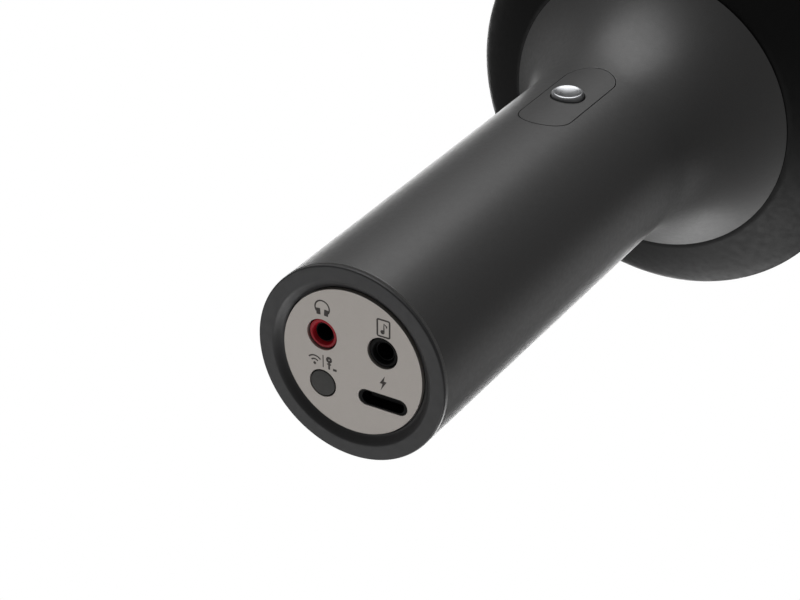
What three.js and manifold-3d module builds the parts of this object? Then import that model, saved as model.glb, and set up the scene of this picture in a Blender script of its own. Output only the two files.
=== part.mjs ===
// A handheld karaoke microphone with a built-in loudspeaker, in millimetres.
// It stands on its end cap: +Z runs up the handle to the mesh dome, and -Y is the front, where the keys are.
import * as THREE from "three";
import { mergeVertices } from "three/addons/utils/BufferGeometryUtils.js";
import Module from "manifold-3d";

const wasm = await Module();
wasm.setup();

// ---------------------------------------------------------------- driving dimensions

const GAP = 0.3; // air between two pieces that meet
const FACETS = 40; // sides of a large round piece
const SMALL_FACETS = 20;
const SCREW_FACETS = 8;

// Handle: a straight tube that flares into the head.
const HANDLE_R = 20;
const HANDLE_WALL = 1.6;
const FLARE_FOOT_Z = 98;
const FLARE_RISE = 26.6;
const FLARE_EDGE_R = 32.7;
const FLARE_STEPS = 9;

// End cap, with the port plate sunk into its face.
const CAP_FLANGE = 0.7;
const CAP_EDGE = 0.35;
const CAP_SLEEVE_END = 9;
const CAP_SLEEVE_WALL = 1.5;
const CAP_RIM = 2.3; // width of the flat ring that the microphone stands on
const PLATE_R = 14.9;
const PLATE_T = 1;
const PLATE_DEPTH = 0.8;
const SEAT_DROP = 0.6; // how far the plate's face stands above the inner edge of the cap round it
const LEDGE_W = 2;
const LEDGE_T = 1.3;
const LUG_R = 2.9;
const LUG_T = 2.5;
const LUG_FROM_EDGE = 3.3; // from the plate seat's wall in to the lug's screw

// Sockets and the mode button on the port plate.
const PORT_X = 6.5;
const JACK_Y = -4;
const LOWER_PORT_Y = 6.5;
const JACK_HOLE_R = 3.2;
const JACK_COLLAR_R = 2.95;
const JACK_BORE_R = 1.8; // takes a 3.5 mm plug
const JACK_BODY = 8;
const JACK_DEPTH = 14;
const USB_SLOT = [10.5, 3.3];
const USB_SHELL = [8.94, 3.26];
const USB_WALL = 0.3;
const USB_TONGUE = [6.7, 0.7];
const MODE_HOLE_R = 2.85;
const MODE_CAP_R = 2.6;
const MODE_FLANGE_R = 3.4;
const MODE_TRAVEL = 0.5;

// Circuit boards, tactile switches and the 18650 cell.
const BOARD_T = 1.6;
const PORT_BOARD_R = 16;
const SWITCH_BODY = 6;
const SWITCH_H = 2.5;
const SWITCH_STEM_R = 1.5;
const SWITCH_STEM_H = 0.5;
const CELL_R = 9.2;
const CELL_L = 65;
const CELL_Y = 5;
const MAIN_BOARD_W = 24;
const KEY_ROOM = 5.4; // from the rocker's underside back to the main board
const MAIN_BOARD_LENGTH = 91;

// Inner frame that carries the board and the cell.
const FRAME_WALL = 1.6;
const BULKHEAD_T = 2;
const RAIL_W = 3;
const PILLAR_R = 2.6;

// Keys: a long volume rocker with the power button through its middle.
const KEYS_Z = 84.4;
const ROCKER_HALF_W = 5.6;
const ROCKER_HALF_L = 14.8;
const ROCKER_DEPTH = 3.1;
const ROCKER_LIP = 1;
const ROCKER_LIP_T = 0.8;
const ROCKER_PIVOT_DEPTH = 1.9; // below the rocker's underside
const ROCKER_POST_Z = 10.5;
const PIVOT_R = 0.8;
const EAR_T = 1;
const POWER_R = 3.35;
const POWER_PROUD = 0.9;
const POWER_FLANGE_R = 4.1;
const POWER_TRAVEL = 0.5;

// Head: black bowl, speaker band, top deck and screw-on mesh dome.
const RIM_R = 46.1;
const BOWL_RISE = 8.5;
const RIM_H = 3.6;
const BOWL_WALL = 2.2;
const BOWL_HOLE_R = 21;
const BOWL_SCREW_R = 26;
const BAND_H = 34.2;
const BAND_SETBACK = 0.7;
const BAND_TAPER = 2.9;
const BAND_WALL = 1;
const DECK_LIP = 0.5;
const DECK_SHOULDER = 1.7; // beyond the dome
const DECK_RISE = 4.8;
const DECK_FLOOR_T = 2.2;
const COLLAR_INSET = 3.5; // inside the dome
const COLLAR_H = 5.9;
const COLLAR_WALL = 1.8;
const DOME_R = 36.5;
const DOME_H = 38;
const DOME_WALL = 1;
const DOME_STEPS = 9;
const FOAM_T = 3;
const GASKET_T = 1.2;
const RING_H = 7.6;
const RING_LIP_T = 0.7;
const RING_SEAT = 2;

// Speakers: two drivers that face left and right.
const DRIVER_R = 16;
const DRIVER_FLANGE_T = 1.2;
const DRIVER_HOLE_R = 13.8;
const BAFFLE_X = 35.5;
const BAFFLE_T = 2;
const BASKET_DEPTH = 11;
const BASKET_WALL = 1;
const MAGNET_R = 11;
const MAGNET_T = 9;
const POLE_R = 4.5;
const MAGNET_GAP_R = 6;
const COIL_R = 5.25;
const CONE_R = 11.8;
const CONE_DEPTH = 6.5;
const CONE_T = 0.6;
const ROLL_W = 3.4;
const ROLL_H = 1.6;

// Microphone capsule on its post.
const POST_R = 9;
const POST_WALL = 3;
const POST_H = 15.7;
const CAPSULE_R = 12;
const CAPSULE_H = 13.5;
const MOUNT_WALL = 2.2;

const LEAD_R = 0.8;

// ---------------------------------------------------------------- sizes that follow from them

const BORE_R = HANDLE_R - HANDLE_WALL;
const FIT_R = BORE_R - GAP; // what slides into the handle
const FLARE_EDGE_Z = FLARE_FOOT_Z + FLARE_RISE;
const FLARE_TURN = 2 * Math.atan((FLARE_EDGE_R - HANDLE_R) / FLARE_RISE);
const FLARE_ARC_R = FLARE_RISE / Math.sin(FLARE_TURN);

const ROCKER_UNDER_R = HANDLE_R - ROCKER_DEPTH;
const ROCKER_PIVOT_Y = ROCKER_PIVOT_DEPTH - ROCKER_UNDER_R;
const MAIN_BOARD_FRONT_Y = KEY_ROOM - ROCKER_UNDER_R;

const PLATE_SEAT_R = PLATE_R + GAP;
const PLATE_BACK_Z = PLATE_DEPTH + PLATE_T;
const LEDGE_Z = PLATE_BACK_Z + GAP;
const CAP_SCREW_Y = PLATE_SEAT_R - LUG_FROM_EDGE;
const JACK_END_Z = PLATE_DEPTH + JACK_DEPTH;
const PORT_BOARD_Z = JACK_END_Z + GAP;
const FRAME_Z = PORT_BOARD_Z + BOARD_T + GAP;
const CELL_Z = FRAME_Z + BULKHEAD_T + 5 * GAP;
const MAIN_BOARD_Z = FRAME_Z + BULKHEAD_T + GAP;
const MAIN_BOARD_BACK_Y = MAIN_BOARD_FRONT_Y + BOARD_T;
const FRAME_FRONT_Y = MAIN_BOARD_BACK_Y + GAP;
const FRAME_L = MAIN_BOARD_LENGTH;

const BOWL_Z = FLARE_EDGE_Z + GAP;
const RIM_Z = BOWL_Z + BOWL_RISE;
const BOWL_TOP_Z = RIM_Z + RIM_H;
const FRAME_SEAT_Z = BOWL_TOP_Z - 2.8;
const BAND_Z = BOWL_TOP_Z + GAP;
const BAND_FOOT_R = RIM_R - BAND_SETBACK;
const BAND_TOP_R = BAND_FOOT_R - BAND_TAPER;
const DECK_R = BAND_TOP_R + DECK_LIP;
const DECK_FLAT_R = DOME_R + DECK_SHOULDER;
const COLLAR_R = DOME_R - COLLAR_INSET;
const DECK_Z = BAND_Z + BAND_H + GAP;
const DECK_FLAT_Z = DECK_Z + DECK_RISE;
const GASKET_Z = DECK_FLAT_Z + GAP;
const RING_Z = GASKET_Z + GASKET_T + GAP;
const DOME_Z = RING_Z + RING_H - RING_SEAT + GAP;
const HEAD_FLOOR_Z = FRAME_SEAT_Z + GAP;
const HEAD_CEILING_Z = DECK_Z - GAP;
const DRIVER_Z = (HEAD_FLOOR_Z + HEAD_CEILING_Z) / 2;

// ---------------------------------------------------------------- materials

const material = (color, roughness, metalness) =>
  new THREE.MeshStandardMaterial({ color, roughness, metalness });
const GUNMETAL = material(0x55565a, 0.5, 0.3);
const BLACK_PLASTIC = material(0x0c0c0d, 0.45, 0);
const CAP_PLASTIC = material(0x3d3d40, 0.5, 0);
const PLATE_METAL = material(0x9c948c, 0.4, 0.7);
const RED_PLASTIC = material(0xb01224, 0.35, 0);
const GREY_RUBBER = material(0x4a4a4a, 0.7, 0);
const SILVER = material(0xc9cacc, 0.2, 1);
const STEEL = material(0x9fa2a6, 0.35, 1);
const MESH_STEEL = material(0x26272a, 0.4, 0.9);
const FRAME_PLASTIC = material(0x2a2b2e, 0.6, 0);
const BOARD_GREEN = material(0x14512f, 0.5, 0);
const CELL_WRAP = material(0x2f6fae, 0.4, 0);
const PAPER_CONE = material(0x1b1b1c, 0.9, 0);
const RUBBER = material(0x161616, 0.85, 0);
const FOAM = material(0x222224, 1, 0);
const CHIP = material(0x111214, 0.6, 0);
const LEAD_BLACK = material(0x151515, 0.6, 0);

// ---------------------------------------------------------------- making and placing solids

const microphone = new THREE.Group();

// A three.js geometry as a solid that can be joined and cut.
function solid(geometry) {
  const bare = geometry.clone();
  bare.deleteAttribute("normal");
  bare.deleteAttribute("uv");
  const merged = mergeVertices(bare, 1e-4);
  return new wasm.Manifold(
    new wasm.Mesh({
      numProp: 3,
      vertProperties: new Float32Array(merged.attributes.position.array),
      triVerts: new Uint32Array(merged.index.array),
    }),
  );
}

// A solid as a named mesh of the microphone.
function place(name, body, finish) {
  const made = body.getMesh();
  const geometry = new THREE.BufferGeometry()
    .setAttribute("position", new THREE.BufferAttribute(made.vertProperties, 3))
    .setIndex(new THREE.BufferAttribute(made.triVerts, 1));
  geometry.computeVertexNormals();
  const mesh = new THREE.Mesh(geometry, finish);
  mesh.name = name;
  microphone.add(mesh);
  return mesh;
}

// A closed outline of [radius, height] points turned round +Z.
// One that has two neighbouring points on the axis makes a full body.
function turned(outline, facets = FACETS) {
  const points = outline.map(([r, z]) => new THREE.Vector2(r, z));
  if (THREE.ShapeUtils.area(points) < 0) points.reverse();
  const onAxis = points.findIndex((p, i) => p.x === 0 && points.at(i - 1).x === 0);
  const ordered =
    onAxis < 0
      ? [...points, points[0]]
      : [...points.slice(onAxis), ...points.slice(0, onAxis)];
  return solid(new THREE.LatheGeometry(ordered, facets).rotateX(Math.PI / 2));
}

const disc = (radius, bottom, top, facets = FACETS) =>
  turned([[0, bottom], [radius, bottom], [radius, top], [0, top]], facets);

const ring = (inner, outer, bottom, top, facets = FACETS) =>
  turned([[inner, bottom], [outer, bottom], [outer, top], [inner, top]], facets);

// A box from its lowest to its highest corner.
function block([x0, y0, z0], [x1, y1, z1]) {
  const box = new THREE.BoxGeometry(x1 - x0, y1 - y0, z1 - z0);
  return solid(box.translate((x0 + x1) / 2, (y0 + y1) / 2, (z0 + z1) / 2));
}

// An outline with round ends, its long side along x.
function roundEnded([length, width]) {
  const half = length / 2 - width / 2;
  return new THREE.Shape()
    .absarc(half, 0, width / 2, -Math.PI / 2, Math.PI / 2)
    .absarc(-half, 0, width / 2, Math.PI / 2, (3 * Math.PI) / 2)
    .closePath();
}

const extruded = (shape, depth, curveSegments = 8) =>
  solid(new THREE.ExtrudeGeometry(shape, { depth, bevelEnabled: false, curveSegments }));

// Round and slot-shaped sockets are made on the axis and moved out to x, y.
const shifted = (body, x, y, z = 0) => body.translate([x, y, z]);

// A body turned round +Z that points out of the front instead, its axis at height z: its top faces -Y.
const facingFront = (body, z) => body.rotate([90, 0, 0]).translate([0, 0, z]);

// A body turned round +Z that points sideways instead: left is -X, right is +X.
const facingSide = (body, side, z) => body.rotate([0, side * 90, 0]).translate([0, 0, z]);

// A lead through the given points.
function lead(points, radius = LEAD_R) {
  const path = new THREE.CatmullRomCurve3(points.map((p) => new THREE.Vector3(...p)));
  const section = new THREE.Shape().absarc(0, 0, radius, 0, 2 * Math.PI);
  const steps = 4 * (points.length - 1);
  const swept = new THREE.ExtrudeGeometry(section, { extrudePath: path, steps, curveSegments: 3 });
  return solid(swept);
}

// A screw that points down, the underside of its head at height z.
function screw(x, y, z, length, headR, shankR) {
  const headH = headR * 0.6;
  const outline = [[0, z - length], [shankR, z - length + shankR], [shankR, z], [headR, z],
    [headR, z + headH], [0, z + headH]];
  return shifted(turned(outline, SCREW_FACETS), x, y);
}

// ---------------------------------------------------------------- handle

const CAP_SCREW = { head: 1.8, shank: 0.85, length: 8, clearance: 1.15, sink: 2.15 };
const HEAD_SCREW = { head: 2.1, shank: 1.1, length: 7, clearance: 1.5, pilot: 1.4, boss: 3 };

const THREE_AROUND = [30, 150, 270].map((degrees) => THREE.MathUtils.degToRad(degrees));
const around = (radius, angle) => [radius * Math.cos(angle), radius * Math.sin(angle)];

// Points of the flare at a depth below its outer surface, from its foot up to the height of its edge.
function flareCurve(depth) {
  const radius = FLARE_ARC_R + depth;
  const end = Math.asin(FLARE_RISE / radius);
  return Array.from({ length: FLARE_STEPS + 1 }, (_, i) => {
    const turn = (end * i) / FLARE_STEPS;
    return [HANDLE_R + FLARE_ARC_R - radius * Math.cos(turn), FLARE_FOOT_Z + radius * Math.sin(turn)];
  });
}

// A round-ended key shape that stands out of the front of the handle, to be cut to its curve.
function keyPrism(halfWidth, halfLength) {
  const shape = roundEnded([2 * halfLength, 2 * halfWidth]);
  const prism = extruded(shape, HANDLE_R + FLARE_RISE, 8);
  return prism.rotate([90, 0, 0]).rotate([0, 90, 0]).translate([0, 0, KEYS_Z]);
}

function handleBody() {
  const foot = CAP_FLANGE + GAP;
  const outside = [[HANDLE_R - GAP, foot], [HANDLE_R, foot + GAP], ...flareCurve(0)];
  const inside = [...flareCurve(HANDLE_WALL).reverse(), [BORE_R, foot]];
  const filled = turned([[0, foot], ...outside, [0, FLARE_EDGE_Z]]);
  const bosses = THREE_AROUND.map((angle) => {
    const boss = disc(HEAD_SCREW.boss, FLARE_EDGE_Z - 10, FLARE_EDGE_Z, SMALL_FACETS);
    return shifted(boss, ...around(BOWL_SCREW_R, angle)).intersect(filled);
  });
  const holes = THREE_AROUND.map((angle) =>
    shifted(disc(HEAD_SCREW.pilot, FLARE_EDGE_Z - 5, FLARE_EDGE_Z + 1, SCREW_FACETS),
      ...around(BOWL_SCREW_R, angle)));
  const joined = bosses.reduce((body, boss) => body.add(boss), turned([...outside, ...inside]));
  const bored = holes.reduce((body, hole) => body.subtract(hole), joined);
  return bored.subtract(keyPrism(ROCKER_HALF_W + GAP, ROCKER_HALF_L + GAP));
}

place("handle_body", handleBody(), GUNMETAL);

// ---------------------------------------------------------------- end cap and port plate

const CAP_SCREW_SPOTS = [[0, -CAP_SCREW_Y], [0, CAP_SCREW_Y]];

function endCap() {
  const ledgeR = PLATE_SEAT_R - LEDGE_W;
  const sleeveR = FIT_R - CAP_SLEEVE_WALL;
  const body = turned([
    [HANDLE_R - CAP_EDGE - CAP_RIM, 0], [HANDLE_R - CAP_EDGE, 0], [HANDLE_R, CAP_EDGE],
    [HANDLE_R, CAP_FLANGE], [FIT_R, CAP_FLANGE], [FIT_R, CAP_SLEEVE_END],
    [sleeveR, CAP_SLEEVE_END], [sleeveR, LEDGE_Z + LEDGE_T], [ledgeR, LEDGE_Z + LEDGE_T],
    [ledgeR, LEDGE_Z], [PLATE_SEAT_R, LEDGE_Z], [PLATE_SEAT_R, PLATE_DEPTH + SEAT_DROP],
  ]);
  return CAP_SCREW_SPOTS.reduce((cap, [x, y]) => {
    const lug = shifted(disc(LUG_R, LEDGE_Z, LEDGE_Z + LUG_T, SMALL_FACETS), x, y);
    const hole = shifted(disc(CAP_SCREW.clearance, 0, LEDGE_Z + 2 * LUG_T, SCREW_FACETS), x, y);
    const sink = shifted(disc(CAP_SCREW.sink, 0, LEDGE_Z + LUG_T / 2, SMALL_FACETS), x, y);
    return cap.add(lug).subtract(hole).subtract(sink);
  }, body);
}

function portPlate() {
  const shape = new THREE.Shape().absarc(0, 0, PLATE_R, 0, 2 * Math.PI);
  for (const [x, y, r] of [
    [-PORT_X, JACK_Y, JACK_HOLE_R],
    [PORT_X, JACK_Y, JACK_HOLE_R],
    [-PORT_X, LOWER_PORT_Y, MODE_HOLE_R],
  ])
    shape.holes.push(new THREE.Path().absarc(x, y, r, 0, 2 * Math.PI, true));
  const plate = extruded(shape, PLATE_T, FACETS / 2);
  const slot = shifted(extruded(roundEnded(USB_SLOT), 3 * PLATE_T), PORT_X, LOWER_PORT_Y, -PLATE_T);
  return plate.subtract(slot).translate([0, 0, PLATE_DEPTH]);
}

place("end_cap", endCap(), CAP_PLASTIC);
place("port_plate", portPlate(), PLATE_METAL);

CAP_SCREW_SPOTS.forEach(([x, y], i) => {
  const upright = screw(0, 0, 0, CAP_SCREW.length, CAP_SCREW.head, CAP_SCREW.shank);
  const seated = upright.rotate([180, 0, 0]).translate([x, y, LEDGE_Z + LUG_T / 2 - GAP / 3]);
  place(`end_cap_screw_${i + 1}`, seated, STEEL);
});

// ---------------------------------------------------------------- sockets, mode button and port board

// A 3.5 mm socket: a coloured collar in the plate, and the body behind it.
function socket(name, x, finish) {
  const mouth = JACK_BORE_R + 2 * GAP;
  const collar = turned([
    [mouth, PLATE_DEPTH], [JACK_COLLAR_R, PLATE_DEPTH], [JACK_COLLAR_R, LEDGE_Z + LEDGE_T],
    [JACK_BORE_R, LEDGE_Z + LEDGE_T], [JACK_BORE_R, PLATE_DEPTH + 2 * GAP],
  ], SMALL_FACETS);
  place(`${name}_collar`, shifted(collar, x, JACK_Y), finish);
  const half = JACK_BODY / 2;
  const start = LEDGE_Z + LEDGE_T + GAP;
  const body = block([-half, -half, start], [half, half, JACK_END_Z]);
  const bore = disc(JACK_BORE_R, start - 1, JACK_END_Z + 1, SMALL_FACETS);
  place(`${name}_body`, shifted(body.subtract(bore), x, JACK_Y), BLACK_PLASTIC);
}

socket("headphone_socket", -PORT_X, RED_PLASTIC);
socket("music_socket", PORT_X, BLACK_PLASTIC);

const USB_BACK = 6; // depth of the receptacle's open mouth
const usbInside = USB_SHELL.map((size) => size - 2 * USB_WALL);
const usbShell = extruded(roundEnded(USB_SHELL), JACK_END_Z - LEDGE_Z)
  .subtract(extruded(roundEnded(usbInside), JACK_END_Z).translate([0, 0, -1]));
place("usb_socket_shell", shifted(usbShell, PORT_X, LOWER_PORT_Y, LEDGE_Z), STEEL);

const usbFilling = roundEnded(usbInside.map((size) => size - 2 * GAP));
const usbBlock = extruded(usbFilling, JACK_END_Z - LEDGE_Z - USB_BACK);
const [tongueX, tongueY] = USB_TONGUE.map((size) => size / 2);
const usbTongue = usbBlock.translate([0, 0, USB_BACK])
  .add(block([-tongueX, -tongueY, GAP], [tongueX, tongueY, USB_BACK + 1]));
place("usb_socket_tongue", shifted(usbTongue, PORT_X, LOWER_PORT_Y, LEDGE_Z), BLACK_PLASTIC);

// A tactile switch on the plane z = 0, its stem up.
const tactileSwitch = () =>
  block([-SWITCH_BODY / 2, -SWITCH_BODY / 2, 0], [SWITCH_BODY / 2, SWITCH_BODY / 2, SWITCH_H])
    .add(disc(SWITCH_STEM_R, SWITCH_H - 1, SWITCH_H + SWITCH_STEM_H, SMALL_FACETS / 2));

const MODE_SWITCH_Z = PORT_BOARD_Z - GAP;
const modeSwitch = tactileSwitch().rotate([180, 0, 0]);
place("mode_switch", shifted(modeSwitch, -PORT_X, LOWER_PORT_Y, MODE_SWITCH_Z), BLACK_PLASTIC);

const MODE_FLANGE_T = 0.8;
const modeStemEnd = MODE_SWITCH_Z - SWITCH_H - SWITCH_STEM_H - MODE_TRAVEL - GAP / 3;
const modeButton = turned([
  [0, PLATE_DEPTH - GAP / 3], [MODE_CAP_R - GAP, PLATE_DEPTH - GAP / 3], [MODE_CAP_R, PLATE_DEPTH + GAP / 2],
  [MODE_CAP_R, LEDGE_Z], [MODE_FLANGE_R, LEDGE_Z], [MODE_FLANGE_R, LEDGE_Z + MODE_FLANGE_T],
  [SWITCH_STEM_R, LEDGE_Z + MODE_FLANGE_T], [SWITCH_STEM_R, modeStemEnd], [0, modeStemEnd],
], SMALL_FACETS);
place("mode_button", shifted(modeButton, -PORT_X, LOWER_PORT_Y), GREY_RUBBER);

const portBoard = CAP_SCREW_SPOTS.reduce(
  (board, [x, y]) => board.subtract(
    shifted(disc(PILLAR_R + GAP, PORT_BOARD_Z - 1, PORT_BOARD_Z + 2 * BOARD_T, SMALL_FACETS), x, y)),
  disc(PORT_BOARD_R, PORT_BOARD_Z, PORT_BOARD_Z + BOARD_T),
);
place("port_board", portBoard, BOARD_GREEN);

// ---------------------------------------------------------------- inner frame, cell and main board

function innerFrame() {
  const top = FRAME_Z + FRAME_L;
  const behindBoard = block([-HANDLE_R, FRAME_FRONT_Y, 0], [HANDLE_R, HANDLE_R, top + 1]);
  const railX = MAIN_BOARD_W / 2;
  const rails = [-1, 1].map((side) => block(
    [Math.min(side * (railX - RAIL_W / 2), side * FIT_R), FRAME_FRONT_Y, FRAME_Z],
    [Math.max(side * (railX - RAIL_W / 2), side * FIT_R), FRAME_FRONT_Y + FRAME_WALL, top]));
  const cellSpace = shifted(disc(CELL_R + GAP, CELL_Z - GAP, CELL_Z + CELL_L + GAP, SMALL_FACETS), 0, CELL_Y);
  const middle = CELL_Z + CELL_L / 2;
  const bulkheads = [FRAME_Z, middle, CELL_Z + CELL_L + 2 * GAP].map((z) => disc(FIT_R, z, z + BULKHEAD_T));
  const leadWay = block([-5, FRAME_FRONT_Y - 1, FRAME_Z + BULKHEAD_T], [5, CELL_Y - CELL_R + 2, top + 1]);
  const carcass = [...rails, ...bulkheads]
    .reduce((body, piece) => body.add(piece), ring(FIT_R - FRAME_WALL, FIT_R, FRAME_Z, top))
    .intersect(disc(FIT_R, 0, top + 1))
    .intersect(behindBoard)
    .subtract(cellSpace)
    .subtract(leadWay);
  const frontArm = block([-PILLAR_R, -CAP_SCREW_Y - PILLAR_R, FRAME_Z],
    [PILLAR_R, FRAME_FRONT_Y + 6, FRAME_Z + BULKHEAD_T]);
  const pillarEnd = LEDGE_Z + LUG_T + GAP;
  return CAP_SCREW_SPOTS.reduce((body, [x, y]) => {
    const pillar = shifted(disc(PILLAR_R, pillarEnd, FRAME_Z + BULKHEAD_T, SMALL_FACETS), x, y);
    const pilot = shifted(disc(CAP_SCREW.clearance, 0, pillarEnd + CAP_SCREW.length, SCREW_FACETS), x, y);
    return body.add(pillar).subtract(pilot);
  }, carcass.add(frontArm));
}

place("inner_frame", innerFrame(), FRAME_PLASTIC);

const cell = turned([[0, CELL_Z], [CELL_R - GAP, CELL_Z], [CELL_R, CELL_Z + GAP],
  [CELL_R, CELL_Z + CELL_L - GAP], [CELL_R - GAP, CELL_Z + CELL_L], [0, CELL_Z + CELL_L]], SMALL_FACETS);
place("battery_cell", shifted(cell, 0, CELL_Y), CELL_WRAP);

place("main_board", block([-MAIN_BOARD_W / 2, MAIN_BOARD_FRONT_Y, MAIN_BOARD_Z],
  [MAIN_BOARD_W / 2, MAIN_BOARD_BACK_Y, MAIN_BOARD_Z + MAIN_BOARD_LENGTH]), BOARD_GREEN);

// Components on the back of the main board: [name, x, width, thickness, height above its foot, length].
const COMPONENTS = [
  ["radio_module", 0, 9.4, 2, 4, 14],
  ["sound_chip", 0, 7, 1, 48, 7],
  ["amplifier_chip", 0, 6, 1.2, 76, 8],
  ["power_inductor", -7.5, 5, 3, 46, 6],
];
for (const [name, x, width, thickness, foot, length] of COMPONENTS) {
  const z = MAIN_BOARD_Z + foot;
  place(name, block([x - width / 2, FRAME_FRONT_Y, z],
    [x + width / 2, FRAME_FRONT_Y + thickness, z + length]), name === "radio_module" ? STEEL : CHIP);
}

// ---------------------------------------------------------------- keys

const frontSwitch = (z) => facingFront(tactileSwitch().translate([0, 0, -MAIN_BOARD_FRONT_Y + GAP]), z);
place("power_switch", frontSwitch(KEYS_Z), BLACK_PLASTIC);
place("volume_up_switch", frontSwitch(KEYS_Z + ROCKER_POST_Z), BLACK_PLASTIC);
place("volume_down_switch", frontSwitch(KEYS_Z - ROCKER_POST_Z), BLACK_PLASTIC);

const SWITCH_TOP_Y = MAIN_BOARD_FRONT_Y - GAP - SWITCH_H - SWITCH_STEM_H;
const EAR_X = POWER_FLANGE_R + 0.5;
const BEARING_X = EAR_X + EAR_T + GAP;
const BEARING_T = 1.5;
const BEARING_HALF = 2;

// A frame clipped over the power switch, with an open bearing each side for the rocker's pins.
function rockerCarrier() {
  const foot = MAIN_BOARD_FRONT_Y - GAP;
  const wide = BEARING_X + BEARING_T;
  const clear = SWITCH_BODY / 2 + GAP;
  const base = block([-wide, foot - 0.8, KEYS_Z - 5], [wide, foot, KEYS_Z + 5])
    .subtract(block([-clear, foot - 5, KEYS_Z - clear], [clear, foot + 5, KEYS_Z + clear]));
  return [-1, 1].reduce((body, side) => {
    const [low, high] = side < 0 ? [-wide, -BEARING_X] : [BEARING_X, wide];
    const post = block(
      [low, ROCKER_PIVOT_Y - 1.2, KEYS_Z - BEARING_HALF], [high, foot, KEYS_Z + BEARING_HALF]);
    const notch = block([low - 1, ROCKER_PIVOT_Y - 2, KEYS_Z - PIVOT_R - GAP],
      [high + 1, ROCKER_PIVOT_Y + PIVOT_R + GAP, KEYS_Z + PIVOT_R + GAP]);
    return body.add(post).subtract(notch);
  }, base);
}

function volumeRocker() {
  const innerR = ROCKER_UNDER_R;
  const bottom = KEYS_Z - 2 * ROCKER_HALF_L;
  const top = KEYS_Z + 2 * ROCKER_HALF_L;
  const shell = ring(innerR, HANDLE_R, bottom, top, 2 * FACETS);
  const key = keyPrism(ROCKER_HALF_W, ROCKER_HALF_L).intersect(shell);
  const lip = keyPrism(ROCKER_HALF_W + ROCKER_LIP, ROCKER_HALF_L + ROCKER_LIP)
    .intersect(ring(innerR, innerR + ROCKER_LIP_T, bottom, top, 2 * FACETS));
  const posts = [-1, 1].map((side) => {
    const post = disc(SWITCH_STEM_R, POWER_TRAVEL - SWITCH_TOP_Y, innerR + 1, SCREW_FACETS);
    return facingFront(post, KEYS_Z + side * ROCKER_POST_Z);
  });
  const ears = [-1, 1].map((side) => {
    const x = side < 0 ? [-EAR_X - EAR_T, -EAR_X] : [EAR_X, EAR_X + EAR_T];
    const ear = block([x[0], -innerR, KEYS_Z - 1.6], [x[1], ROCKER_PIVOT_Y + PIVOT_R, KEYS_Z + 1.6]);
    const pin = disc(PIVOT_R, EAR_X + EAR_T / 2, BEARING_X + BEARING_T - GAP, SCREW_FACETS);
    return ear.add(facingSide(pin, side, 0).translate([0, ROCKER_PIVOT_Y, KEYS_Z]));
  });
  const bearings = [-1, 1].map((side) => {
    const [low, high] = side < 0 ? [-HANDLE_R, -BEARING_X + GAP / 3] : [BEARING_X - GAP / 3, HANDLE_R];
    const room = BEARING_HALF + 2 * GAP;
    return block(
      [low, -innerR - ROCKER_LIP_T - GAP, KEYS_Z - room], [high, ROCKER_PIVOT_Y + 2, KEYS_Z + room]);
  });
  const powerHole = facingFront(disc(POWER_R + GAP, innerR - 2, HANDLE_R + 1, SMALL_FACETS), KEYS_Z);
  const plate = bearings.reduce((body, room) => body.subtract(room), key.add(lip));
  return [...posts, ...ears].reduce((body, piece) => body.add(piece), plate.subtract(powerHole));
}

function powerButton() {
  const top = HANDLE_R + POWER_PROUD;
  const flange = POWER_TRAVEL - SWITCH_TOP_Y + GAP / 3;
  return facingFront(turned([
    [0, flange], [POWER_FLANGE_R, flange], [POWER_FLANGE_R, flange + 0.5], [POWER_R, flange + 0.5],
    [POWER_R, top - 0.5], [POWER_R - 0.5, top], [POWER_R - 1, top], [0, top - 0.4],
  ], SMALL_FACETS), KEYS_Z);
}

place("rocker_carrier", rockerCarrier(), FRAME_PLASTIC);
place("volume_rocker", volumeRocker(), GUNMETAL);
place("power_button", powerButton(), SILVER);

// ---------------------------------------------------------------- head bowl and speaker band

function headBowl() {
  const edge = FLARE_EDGE_R + GAP;
  const bend = new THREE.QuadraticBezierCurve(
    new THREE.Vector2(edge, BOWL_Z), new THREE.Vector2(RIM_R - 2, RIM_Z - 3.6),
    new THREE.Vector2(RIM_R, RIM_Z));
  const outside = bend.getPoints(5).map((p) => [p.x, p.y]);
  const seatR = RIM_R - BOWL_WALL;
  const bowl = turned([
    [BOWL_HOLE_R, BOWL_Z], ...outside, [RIM_R, BOWL_TOP_Z - CAP_EDGE], [RIM_R - CAP_EDGE, BOWL_TOP_Z],
    [seatR, BOWL_TOP_Z], [seatR, FRAME_SEAT_Z], [seatR - BOWL_WALL, FRAME_SEAT_Z],
    [edge + 1, BOWL_Z + BOWL_WALL], [BOWL_HOLE_R, BOWL_Z + BOWL_WALL],
  ]);
  const hole = disc(HEAD_SCREW.clearance, BOWL_Z - 1, BOWL_TOP_Z, SCREW_FACETS);
  return THREE_AROUND.reduce(
    (body, angle) => body.subtract(shifted(hole, ...around(BOWL_SCREW_R, angle))), bowl);
}

place("head_bowl", headBowl(), BLACK_PLASTIC);
THREE_AROUND.forEach((angle, i) => {
  const [x, y] = around(BOWL_SCREW_R, angle);
  const seat = BOWL_Z + BOWL_WALL + GAP / 3;
  const bowlScrew = screw(x, y, seat, HEAD_SCREW.length, HEAD_SCREW.head, HEAD_SCREW.shank);
  place(`bowl_screw_${i + 1}`, bowlScrew, STEEL);
});

const bandTop = BAND_Z + BAND_H;
place("speaker_grille", turned([
  [BAND_FOOT_R - BAND_WALL, BAND_Z], [BAND_FOOT_R, BAND_Z], [BAND_TOP_R, bandTop],
  [BAND_TOP_R - BAND_WALL, bandTop],
]), MESH_STEEL);

// ---------------------------------------------------------------- speaker frame and drivers

const FRAME_BASE_T = 2;
const BAFFLE_HALF_W = DRIVER_R + 2;

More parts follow.
